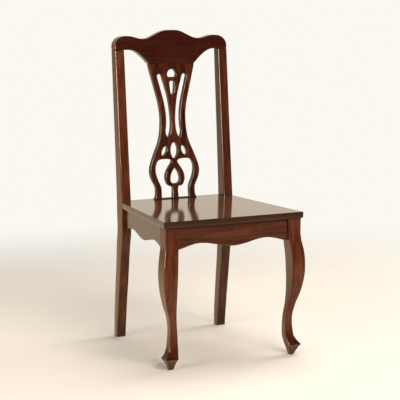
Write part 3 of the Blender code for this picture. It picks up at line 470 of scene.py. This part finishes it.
print("growth rings every", round(RING_SPACING / MM, 1), "mm, and", ", ".join(GRAIN_PATTERNS))

# %% [markdown]
# ## Stain
# A ramp of three or four browns turns the figure into stain. Four things then change it. Three are
# as on real wood: pores hold more stain, end grain drinks more of it and goes darker, and along the
# arrises sanding has cut the stain thinner. The fourth is painted shade: the last few centimetres
# above the floor are darker. A bevel node finds the arrises: its softened normal leans away from
# the face's own normal there.

# %% Colour of the stain
RING_SHARE, CLOUD_SHARE = 0.08, 0.40
# Each darker place: where its measure starts to count, where it counts in full, and its tone.
DARKER_PLACES = {
    "pores": (0.60, 0.72, "#B0A298"),
    "end_grain": (0.3, 0.8, "#B4B0AE"),
    # painted shade: the colour darkens over the last few centimetres above the floor
    "height": (85 * MM, 45 * MM, "#CEC2BA"),
}
ARRIS_WIDTH, BEVEL_SAMPLES = 2.5 * MM, 6
FLAT_COSINE, ARRIS_COSINE, WORN_SHARE = 0.99, 0.90, 0.35


def stain(tree, grain, figure, tones, worn_tone):
    """Colour of the stained wood, and where its pores are."""
    ringed = add(tree, "ShaderNodeMath", {"operation": "MULTIPLY_ADD"}, {1: RING_SHARE},
                 {0: figure["rings"], 2: figure["streaks"]})
    clouded = add(tree, "ShaderNodeMath", {"operation": "MULTIPLY_ADD"}, {1: CLOUD_SHARE},
                  {0: figure["clouds"], 2: ringed.outputs["Value"]})
    colour = add(tree, "ShaderNodeValToRGB", links={"Fac": clouded.outputs["Value"]},
                 stops=tones).outputs["Color"]

    face = add(tree, "ShaderNodeNewGeometry").outputs
    across_grain = add(tree, "ShaderNodeVectorMath", {"operation": "DOT_PRODUCT"},
                       {1: GRAIN_AXIS[grain]}, {0: face["Normal"]}).outputs["Value"]
    end_grain = add(tree, "ShaderNodeMath", {"operation": "ABSOLUTE"}, links={0: across_grain})
    place = add(tree, "ShaderNodeSeparateXYZ", links={"Vector": face["Position"]})
    measures = {"pores": figure["pores"], "end_grain": end_grain.outputs["Value"],
                "height": place.outputs["Z"]}
    shares = {}
    for measure, (start, full, tone) in DARKER_PLACES.items():
        shares[measure] = add(tree, "ShaderNodeMapRange", {"interpolation_type": "SMOOTHSTEP"},
                              {"From Min": start, "From Max": full},
                              {"Value": measures[measure]}).outputs["Result"]
        colour = add(tree, "ShaderNodeMix", {"data_type": "RGBA", "blend_type": "MULTIPLY"},
                     {"B": linear(tone)},
                     {"Factor": shares[measure], "A": colour}).outputs["Result"]

    rounded = add(tree, "ShaderNodeBevel", {"samples": BEVEL_SAMPLES}, {"Radius": ARRIS_WIDTH})
    flatness = add(tree, "ShaderNodeVectorMath", {"operation": "DOT_PRODUCT"},
                   links={0: rounded.outputs["Normal"], 1: face["True Normal"]})
    worn = add(tree, "ShaderNodeMapRange",
               values={"From Min": FLAT_COSINE, "From Max": ARRIS_COSINE, "To Max": WORN_SHARE},
               links={"Value": flatness.outputs["Value"]})
    colour = add(tree, "ShaderNodeMix", {"data_type": "RGBA"}, {"B": linear(worn_tone)},
                 {"Factor": worn.outputs["Result"], "A": colour}).outputs["Result"]
    return colour, shares["pores"]


print("stain goes darker with", ", ".join(DARKER_PLACES))

# %% [markdown]
# ## Lacquer
# Lacquer is a clear coat of IOR 1.5 that fills most of the grain. What is left is a gloss that is
# uneven in clouds, and a relief of a tenth of a millimetre where the pores sink. Flat faces are
# rubbed smoother than sawn edges. Each part of the chair has its own board, and so its own browns.
# Some browns are painted light and shade: darker on the crest, the right rear leg and the seat's
# edges, paler on the ends of the ears.

# %% Lacquered finishes
LACQUER_IOR = 1.50
SMOOTHEST, ROUGHEST = 0.8, 1.3
RELIEF_STRENGTH, RELIEF_DEPTH = 0.10, 0.1 * MM


def stained_wood(name, grain, roughness, worn_tone, tones):
    """Stained and lacquered wood whose grain runs along one axis."""
    material = blank_material(name)
    tree = material.node_tree
    figure = grain_figure(tree, grain)
    colour, pores = stain(tree, grain, figure, tones, worn_tone)
    gloss = add(tree, "ShaderNodeMapRange", {},
                {"To Min": roughness * SMOOTHEST, "To Max": roughness * ROUGHEST},
                {"Value": figure["clouds"]})
    relief = add(tree, "ShaderNodeMath", {"operation": "SUBTRACT"},
                 links={0: figure["streaks"], 1: pores})
    bump = add(tree, "ShaderNodeBump",
               values={"Strength": RELIEF_STRENGTH, "Distance": RELIEF_DEPTH},
               links={"Height": relief.outputs["Value"]})
    shader = add(tree, "ShaderNodeBsdfPrincipled", values={"IOR": LACQUER_IOR},
                 links={"Base Color": colour, "Roughness": gloss.outputs["Result"],
                        "Normal": bump.outputs["Normal"]})
    add(tree, "ShaderNodeOutputMaterial", links={"Surface": shader.outputs["BSDF"]})
    return material


# %% Browns of each part
# Each finish: its material's name, grain axis, roughness, tone of worn arrises, stops of brown.
LACQUERED = {
    "legs": ("mahogany_stain_upright", "z", 0.13, "#6E331C",
             ((0.45, "#42200F"), (0.66, "#582A1A"), (0.82, "#673520"), (0.98, "#773F27"))),
    # painted shade: darker browns for the right rear leg
    "shaded_right_leg": ("mahogany_stain_with_painted_shade_on_right_leg", "z", 0.13, "#5E2C18",
                   ((0.45, "#371A0D"), (0.66, "#4A2216"), (0.82, "#572C1B"), (0.98, "#653421"))),
    "aprons": ("mahogany_stain_across", "x", 0.13, "#6E331C",
               ((0.45, "#381C11"), (0.66, "#4A2518"), (0.82, "#572D1D"), (0.98, "#663725"))),
    "side_aprons": ("mahogany_stain_along", "y", 0.17, "#5A2C1A",
                    ((0.45, "#2C160F"), (0.66, "#402117"), (0.98, "#5A3324"))),
    "splat": ("mahogany_stain_on_the_splat", "z", 0.15, "#5A2C1A",
              ((0.46, "#240E08"), (0.62, "#3A180E"), (0.78, "#502415"), (0.92, "#65321D"))),
    # real darker sawn walls of boards, and painted shade at the joints on the legs' tops
    "sawn_edges_and_joint_shade": ("mahogany_stain_on_sawn_edges", "z", 0.30, "#4A2012",
                   ((0.45, "#1C0D08"), (0.66, "#2C150D"), (0.98, "#3E2014"))),
    # painted shade: darker browns for the crest
    "crest": ("mahogany_stain_with_painted_shade_on_crest", "x", 0.17, "#4A2012",
              ((0.40, "#2E1009"), (0.65, "#3A150C"), (0.95, "#441B10"))),
    # painted reflection: paler browns for the ends of the ears
    "ears": ("mahogany_stain_with_painted_reflection_on_ears", "z", 0.17, "#7E4630",
             ((0.45, "#4E2715"), (0.66, "#643220"), (0.98, "#7E4630"))),
    "seat": ("glossy_mahogany_stain", "x", 0.09, "#6E331C",
             ((0.40, "#3A2013"), (0.65, "#50301F"), (0.95, "#624230"))),
    # painted shade: darker browns for the seat's edges and underside
    "seat_edges": ("mahogany_stain_with_painted_shade_on_seat_edge", "x", 0.15, "#5A2C1A",
                   ((0.40, "#2C180F"), (0.65, "#3A2114"), (0.95, "#482B1C"))),
}
finishes = {part: stained_wood(*finish) for part, finish in LACQUERED.items()}
print("lacquered finishes:", ", ".join(finishes))

# %% [markdown]
# ## Bare wood and zinc
# Dowels and corner blocks are never stained. Both are pale, dry hardwood with saw marks, so they
# are rough and show no reflection. The screws are steel under bright zinc, which is cool and
# slightly mottled, and rougher where the driver has rubbed it. These solids have the right shape
# already, so they stay as they are and only get a finer material.

# %% Sawn beech
BEECH_PATTERNS = {"streaks": (3 * MM, 60 * MM, 3), "flecks": (0.8 * MM, 6 * MM, 1)}
BEECH_TONES = ((0.3, "#B58A5C"), (0.55, "#C9A173"), (0.8, "#DBB88C"))
FLECK_TONE = "#C8B49C"


def sawn_beech():
    """Sawn hardwood without a finish: pale, matt, with soft growth rings and fuzzy pores."""
    material = blank_material("sawn_beech")
    tree = material.node_tree
    here = add(tree, "ShaderNodeTexCoord").outputs["Object"]
    spots = grain_spots(tree, here, BEECH_PATTERNS)
    colour = add(tree, "ShaderNodeValToRGB", links={"Fac": spots["streaks"]}, stops=BEECH_TONES)
    flecked = add(tree, "ShaderNodeMix", {"data_type": "RGBA", "blend_type": "MULTIPLY"},
                  {"B": linear(FLECK_TONE)},
                  {"Factor": spots["flecks"], "A": colour.outputs["Color"]})
    dry = add(tree, "ShaderNodeMapRange", values={"To Min": 0.6, "To Max": 0.8},
              links={"Value": spots["flecks"]})
    bump = add(tree, "ShaderNodeBump", values={"Strength": 0.3, "Distance": 0.2 * MM},
               links={"Height": spots["flecks"]})
    shader = add(tree, "ShaderNodeBsdfPrincipled",
                 links={"Base Color": flecked.outputs["Result"],
                        "Roughness": dry.outputs["Result"], "Normal": bump.outputs["Normal"]})
    add(tree, "ShaderNodeOutputMaterial", links={"Surface": shader.outputs["BSDF"]})
    return material


# %% Zinc-plated steel
MOTTLE_WIDTH = 1.5 * MM
ZINC_TONES = ((0.3, "#A7A9A4"), (0.7, "#CBCCC4"))


def zinc_plate():
    """Zinc-plated steel: a metal with a faint mottle in its colour and its shine."""
    material = blank_material("zinc_plated_steel")
    tree = material.node_tree
    here = add(tree, "ShaderNodeTexCoord").outputs["Object"]
    mottle = add(tree, "ShaderNodeTexNoise", values={"Scale": 1 / MOTTLE_WIDTH, "Detail": 3},
                 links={"Vector": here}).outputs["Fac"]
    colour = add(tree, "ShaderNodeValToRGB", links={"Fac": mottle}, stops=ZINC_TONES)
    rubbed = add(tree, "ShaderNodeMapRange", values={"To Min": 0.25, "To Max": 0.5},
                 links={"Value": mottle})
    shader = add(tree, "ShaderNodeBsdfPrincipled", values={"Metallic": 1},
                 links={"Base Color": colour.outputs["Color"],
                        "Roughness": rubbed.outputs["Result"]})
    add(tree, "ShaderNodeOutputMaterial", links={"Surface": shader.outputs["BSDF"]})
    return material


# %% Hidden joinery
bare, zinc = sawn_beech(), zinc_plate()
for name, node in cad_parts.items():
    if "screw" in name:
        node.material_slots[0].material = zinc
    elif "dowel" in name or "corner_block" in name:
        node.material_slots[0].material = bare
print("hidden joinery:", bare.users, "pieces of beech and", zinc.users, "screws")

# %% [markdown]
# ## Front legs
# Each front leg is a square block that runs into a cabriole shank and a pointed foot. A maker saws
# the curve on two faces and rounds the arrises a little. So the solid's sections are read back,
# the curve is made fair between them, and every section gets rounder corners than the solid has.
# The curve keeps its corners where the block ends and at the rim of the foot. The top end is eased
# with sandpaper, and its last 2 mm take the darker finish of the sawn edges as painted shade, which
# draws a thin dark line under the piece above.

# %% Sawn legs
END_ROUND, END_STEPS = 2 * MM, 3
ARRISES_ACROSS = 5  # where a leg is slender, its arris is at most a fifth of its width


def crease_places(values, least_turn):
    """Places in a list of sections where their outline turns sharply."""
    steps = np.diff(np.asarray(values), axis=0)
    steps /= np.linalg.norm(steps, axis=1)[:, None]
    bends = np.degrees(np.arccos(np.clip((steps[1:] * steps[:-1]).sum(1), -1, 1)))
    return [index + 1 for index, bend in enumerate(bends) if bend > least_turn]


def sawn_leg(name, finish, arris, crease_degrees):
    """A leg skinned over the fair curve through its solid's sections, with its top end eased."""
    measured = [(place, low[0], high[0], low[1], high[1])
                for place, low, high, _ in sections(name, 2)]
    curve = fair_curve(measured, crease_places(measured, crease_degrees))
    top = curve[-1]
    rows = [row for row in curve if row[0] < top[0] - 2 * END_ROUND]
    for inward, below in reversed(quarter_round(END_ROUND, END_ROUND, END_STEPS)):
        rows.append(top + (-below, inward, -inward, inward, -inward))
    low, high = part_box(name)
    rings = []
    for z, x0, x1, y0, y1 in rows:
        x0, x1, y0, y1 = max(x0, low[0]), min(x1, high[0]), max(y0, low[1]), min(y1, high[1])
        radius = min(arris, (x1 - x0) / ARRISES_ACROSS)
        rings.append([Vector((x, y, z)) for x, y in rounded_section((x0, y0), (x1, y1), radius)])
    mesh = skin(rings)
    # painted shade: faces in the top END_ROUND take the sawn-edge finish, a dark line at the joint
    for face in mesh.faces:
        face.material_index = int(face.calc_center_median().z > top[0] - END_ROUND)
    wooden(name, mesh, [finish, finishes["sawn_edges_and_joint_shade"]])


# %% Front legs
for side in ("left", "right"):
    sawn_leg("front_leg_" + side, finishes["legs"], arris=2.6 * MM, crease_degrees=25)

# %% [markdown]
# ## Rear legs
# A rear leg and its back post are one length of wood, sawn to a sweep in side view. Its section
# stays 31.5 mm wide and only its depth changes, and its arrises are rounded with a 4 mm cutter.
# The right leg has darker browns than the left, as painted shade.

# %% Rear legs
# painted shade: the right rear leg takes the darker browns
for side, finish in (("left", finishes["legs"]), ("right", finishes["shaded_right_leg"])):
    sawn_leg("rear_leg_" + side, finish, arris=4 * MM, crease_degrees=40)

# %% [markdown]
# ## Crest rail
# The crest is sawn to a peak, two dips and round ears, is thinner over the splat and leans with
# the posts at its ends. Its sections are upright and lie side by side across the chair. Each one's
# front leans from its lower to its upper arris, so the lean is read along with the box. Close to
# each end the sections get thinner by a quarter round, and their lower edge lifts a little. The
# crest's browns are darker as painted shade, and the ends of its ears take paler browns as a
# painted reflection.

# %% Sections of the crest
ON_FACE = 0.02 * MM
CREST_CREASE_DEGREES = 50


def crest_sections():
    """Upright sections along the crest, as (place, bottom, top, front, lean, depth)."""
    measured = []
    for place, low, high, cut in sections("crest_rail", 0):
        foot = cut[cut[:, 2] < low[2] + ON_FACE, 1]
        head = cut[cut[:, 2] > high[2] - ON_FACE, 1]
        lean = (head.min() + head.max() - foot.min() - foot.max()) / 2
        measured.append((place, low[2], high[2], low[1], lean, high[1] - low[1] - lean))
    creases = crease_places([row[:3] for row in measured], CREST_CREASE_DEGREES)
    return fair_curve(measured, creases)


print("crest sections:", len(crest_sections()))

# %% Crest rail
CREST_ARRIS, ARRISES_UP = 3.6 * MM, 4
END_LIFT = 0.4
EAR_LENGTH, END_FACING = 12 * MM, 0.5

crest_end, _, crest_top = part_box("crest_rail")[1]
rings = []
for x, bottom, top, front, lean, depth in crest_sections():
    top = min(top, crest_top)
    from_round = max(0, CREST_ARRIS - max(0, crest_end - abs(x)))
    tuck = CREST_ARRIS - math.sqrt(CREST_ARRIS ** 2 - from_round ** 2)
    section = rounded_section((tuck, bottom + END_LIFT * tuck), (depth - tuck, top),
                              min(CREST_ARRIS, (top - bottom) / ARRISES_UP))
    rings.append([Vector((x, front + across + lean * (height - bottom) / (top - bottom), height))
                  for across, height in section])
crest_mesh = skin(rings)
crest_mesh.normal_update()
# painted reflection: the faces at the ends of the ears take the paler browns
for face in crest_mesh.faces:
    on_ear = abs(face.calc_center_median().x) > crest_end - EAR_LENGTH
    face.material_index = int(on_ear and abs(face.normal.x) > END_FACING)
wooden("crest_rail", crest_mesh, [finishes["crest"], finishes["ears"]])

# %% [markdown]
# ## Boards: splat and aprons
# The splat and the aprons are sawn from flat boards. The outline and the openings of the packed
# board's flat face are read as loops of corners, made fair, and every sawn arris is then eased
# with sandpaper: a quarter round of 1.5 to 2.4 mm. The soft arris matters more than its size
# suggests, because it catches a thin line of light all round each opening. Where the wood between
# two edges is narrow, as in a sharp corner or in the thin rail at the foot of the splat, the
# arrises get narrower with it. The sawn walls between them are rougher and drink more stain, so
# their finish is darker.

# %% Loops of a board's face
def widest_face(mesh, outward):
    """Direction that the widest flat face on one side of a board looks in."""
    widest = max(mesh.faces, key=lambda face: face.calc_area() * face.normal.dot(outward))
    return widest.normal.copy()


def face_loops(mesh, facing):
    """Outline and openings of the outermost face that looks along facing, as chains of corners."""
    level = max(vertex.co.dot(facing) for vertex in mesh.verts)
    flat_faces = [face for face in mesh.faces
                  if all(vertex.co.dot(facing) > level - ON_FACE for vertex in face.verts)]
    flat_set, following = set(flat_faces), {}
    for face in flat_faces:
        for loop in face.loops:
            if not flat_set.issuperset(loop.edge.link_faces):
                following[loop.vert] = loop.link_loop_next.vert
    loops = []
    while following:
        vertex, chain = next(iter(following)), []
        while vertex in following:
            chain.append(vertex.co.copy())
            vertex = following.pop(vertex)
        loops.append(chain)
    return loops


splat = welded("splat")
splat_facing = widest_face(splat, Vector((0, -1, 0)))
print("splat leans back", round(math.degrees(math.asin(splat_facing.z)), 2), "degrees and has",
      len(face_loops(splat, splat_facing)) - 1, "openings")
splat.free()

# %% Turns and offsets of an outline
LEAST_SPREAD = 0.5  # keeps a very sharp corner from moving too far


def turns(outline):
    """How many degrees a closed outline turns to the left at each corner."""
    before = outline - np.roll(outline, 1, axis=0)
    after = np.roll(outline, -1, axis=0) - outline
    return np.degrees(np.arctan2(before[:, 0] * after[:, 1] - before[:, 1] * after[:, 0],
                                 (before * after).sum(1)))


def edge_normals(outline):
    """Unit normals of a closed outline's edges. They point at the wood, which lies on the left."""
    edges = np.roll(outline, -1, axis=0) - outline
    edges /= np.linalg.norm(edges, axis=1)[:, None]
    return np.stack([-edges[:, 1], edges[:, 0]], axis=1)


def inset(outline, distances):
    """Move each corner of a closed outline into the wood by a distance of its own."""
    after = edge_normals(outline)
    before = np.roll(after, 1, axis=0)
    spread = 1 + (after * before).sum(1)[:, None]
    return outline + distances[:, None] * (after + before) / np.maximum(spread, LEAST_SPREAD)


SQUARE = np.array([(0.0, 0.0), (1.0, 0.0), (1.0, 1.0), (0.0, 1.0)])
print("a square inset by a tenth:", inset(SQUARE, np.full(4, 0.1)).round(2).tolist())

# %% Fair outlines of a board
LONGEST_EDGE = 4 * MM
BOARD_CREASE_DEGREES = 40


def spaced(outline, longest):
    """The same closed outline with enough corners that no edge is longer than this."""
    corners = []
    for start, end in zip(outline, np.roll(outline, -1, axis=0)):
        count = math.ceil(np.linalg.norm(end - start) / longest)
        corners += [start + (end - start) * step / count for step in range(count)]
    return np.array(corners)


def fair_outlines(mesh, facing, axes):
    """Outline and openings of a board's face, as places along two axes that lie in the face."""
    outlines = []
    for chain in face_loops(mesh, facing):
        outline = np.array([[corner.dot(axis) for axis in axes] for corner in chain])
        creases = np.flatnonzero(abs(turns(outline)) > BOARD_CREASE_DEGREES)
        outlines.append(spaced(fair_curve(outline, creases, closed=True), LONGEST_EDGE))
    return outlines


print("a square in quarters has", len(spaced(SQUARE, 0.25)), "corners")

# %% Room for an arris
# An arris takes at most this share of the wood's width. An edge counts as across the wood within
# 60 degrees of the way in, and a corner's own edges don't count.
NARROW_SHARE = 0.4
FACING_COSINE, OWN_EDGE = 0.5, 0.05 * MM


def wood_width(outline, outlines):
    """How far each corner of an outline is from the nearest edge that faces it across the wood."""
    after = edge_normals(outline)
    inward = after + np.roll(after, 1, axis=0)
    inward /= np.linalg.norm(inward, axis=1)[:, None]
    starts = np.vstack(outlines)
    edges = np.vstack([np.roll(loop, -1, axis=0) for loop in outlines]) - starts
    along = ((outline[:, None] - starts) * edges).sum(2) / (edges ** 2).sum(1)
    gaps = starts + edges * np.clip(along, 0, 1)[..., None] - outline[:, None]
    lengths = np.linalg.norm(gaps, axis=2)
    across = (gaps * inward[:, None]).sum(2) > FACING_COSINE * lengths
    return np.where(across & (lengths > OWN_EDGE), lengths, np.inf).min(axis=1)


def arris_shares(outline, outlines, arris):
    """Share of the arris that the wood has room for at each corner of an outline."""
    points = outline[turns(outline) > BOARD_CREASE_DEGREES]
    to_points = np.linalg.norm(outline[:, None] - points, axis=2).min(axis=1, initial=np.inf)
    room = np.minimum(wood_width(outline, outlines), to_points)
    return np.minimum(1, NARROW_SHARE * room / arris)


print("room beside a square's corners:", wood_width(SQUARE, [SQUARE]).round(2).tolist())

# %% Boards with eased arrises
ARRIS_STEPS = 3


def fill_faces(mesh, fronts, backs, flats):
    """Close a board's front and back, between its outline and its openings, with neat triangles."""
    filled = []
    for triangle in tessellate_polygon(flats):
        filled.append(mesh.faces.new([fronts[index] for index in triangle]))
        filled.append(mesh.faces.new([backs[index] for index in reversed(triangle)]))
    filled_set = set(filled)
    inner_edges = [edge for edge in mesh.edges if filled_set.issuperset(edge.link_faces)]
    bmesh.ops.beautify_fill(mesh, faces=filled, edges=inner_edges)


def eased_board(name, finish, outward, arris):
    """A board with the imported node's outline and openings, and quarter-round arrises."""
    solid = welded(name)
    facing = widest_face(solid, outward)
    across = Vector((0, 0, 1)).cross(facing).normalized()
    up = facing.cross(across)
    reaches = [vertex.co.dot(facing) for vertex in solid.verts]
    level = max(reaches)
    thickness = (level - min(reaches)) / outward.dot(facing)
    outlines = fair_outlines(solid, facing, (across, up))
    solid.free()
    eased = quarter_round(arris, arris, ARRIS_STEPS)
    profile = eased + [(distance, thickness - depth) for distance, depth in reversed(eased)]
    mesh = bmesh.new()
    fronts, backs, flats = [], [], []
    for outline in outlines:
        shares = arris_shares(outline, outlines, arris)
        rows = []
        for distance, depth in profile:
            rows.append([mesh.verts.new(across * a + up * b + facing * level - outward * depth)
                         for a, b in inset(outline, shares * distance)])
        for step, (lower, upper) in enumerate(zip(rows, rows[1:])):
            for face in strip(mesh, lower, upper):
                face.material_index = int(step == ARRIS_STEPS)
        fronts += rows[0]
        backs += rows[-1]
        flats.append([Vector((a, b, 0)) for a, b in inset(outline, shares * arris)])
    fill_faces(mesh, fronts, backs, flats)
    wooden(name, mesh, [finish, finishes["sawn_edges_and_joint_shade"]])


# %% Splat and aprons
APRON_ARRIS = 1.5 * MM
eased_board("splat", finishes["splat"], Vector((0, -1, 0)), arris=2.4 * MM)
eased_board("front_apron", finishes["aprons"], Vector((0, -1, 0)), APRON_ARRIS)
eased_board("rear_apron", finishes["aprons"], Vector((0, 1, 0)), APRON_ARRIS)
eased_board("side_apron_left", finishes["side_aprons"], Vector((-1, 0, 0)), APRON_ARRIS)
eased_board("side_apron_right", finishes["side_aprons"], Vector((1, 0, 0)), APRON_ARRIS)

# %% [markdown]
# ## Seat panel
# The seat is a flat panel glued up from boards. It tapers from front to back, has small round
# front corners, and is notched round the two posts. Its upper arris is rounded a little so that it
# doesn't cut into the sitter's thighs. The lower half of its edge swings in, slowly and then fast,
# which makes the panel look thin and puts a pale line of floor along its foot. Only the top is
# polished to a high gloss. The edges and the underside are duller, and their browns are darker as
# painted shade.

# %% Plan of the seat
SEAT_CORNER_RADIUS, SEAT_CORNER_POINTS = 2.5 * MM, 9
POST_CLEARANCE, POST_MARGIN = 0.3 * MM, 1 * MM


def seat_outline():
    """Plan of the seat, anticlockwise from its front right corner, and 1 for each eased edge."""
    seat_low, seat_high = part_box("seat_panel")
    _, post_low, post_high, _ = next(section for section in sections("rear_leg_right", 2)
                                     if section[0] > seat_low[2] - POST_MARGIN)
    half_front, front, back = seat_high[0], seat_low[1], seat_high[1]
    notch_front, notch_inner = post_low[1] - POST_CLEARANCE, post_low[0] - POST_CLEARANCE
    slope = (half_front - post_high[0]) / (post_low[1] - front)
    radius = SEAT_CORNER_RADIUS
    centre_x, centre_y = half_front - radius - radius * slope, front + radius
    half = [(centre_x + radius * math.cos(angle), centre_y + radius * math.sin(angle))
            for angle in np.linspace(-math.pi / 2, math.atan(slope), SEAT_CORNER_POINTS)]
    half.append((half_front - slope * (notch_front - front), notch_front))
    half += [(notch_inner, notch_front), (notch_inner, back)]
    outline = np.array(half + [(-x, y) for x, y in reversed(half)])
    eased = np.ones(len(outline))
    # The two walls of each notch stay square. The back edge, number 2 from the corner, is eased.
    for wall in (0, 1, 3, 4):
        eased[SEAT_CORNER_POINTS + wall] = 0
    return outline, eased


outline, eased_edges = seat_outline()
print("seat plan:", len(outline), "corners,", int(eased_edges.sum()), "eased edges")

# %% Seat panel
SEAT_TOP_ROUND, TOP_STEPS = 2 * MM, 4
SEAT_UNDER_WIDTH, SEAT_UNDER_HEIGHT, UNDER_STEPS = 3 * MM, 9 * MM, 6
PARALLEL_SINE = 0.02
POLISHED_DEPTH = 0.1 * MM


def inset_edges(outline, distances):
    """Move each edge of a closed outline inwards by a distance of its own."""
    inward = edge_normals(outline)
    moved = []
    for corner, one, other, first, second in zip(outline, np.roll(inward, 1, axis=0), inward,
                                                 np.roll(distances, 1), distances):
        if abs(np.cross(one, other)) > PARALLEL_SINE:
            moved.append(corner + np.linalg.solve([one, other], [first, second]))
        else:
            moved.append(corner + other * max(first, second))
    return np.array(moved)


underside, top = (corner[2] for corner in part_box("seat_panel"))
rows = [(distance, underside + above)
        for distance, above in quarter_round(SEAT_UNDER_WIDTH, SEAT_UNDER_HEIGHT, UNDER_STEPS)]
rows += [(distance, top - below)
         for distance, below in reversed(quarter_round(SEAT_TOP_ROUND, SEAT_TOP_ROUND, TOP_STEPS))]
seat_mesh = skin([[Vector((x, y, height)) for x, y in inset_edges(outline, eased_edges * distance)]
                  for distance, height in rows])
# painted shade: the edges and the underside take the darker browns
for face in seat_mesh.faces:
    face.material_index = int(min(vertex.co.z for vertex in face.verts) < top - POLISHED_DEPTH)
wooden("seat_panel", seat_mesh, [finishes["seat"], finishes["seat_edges"]])
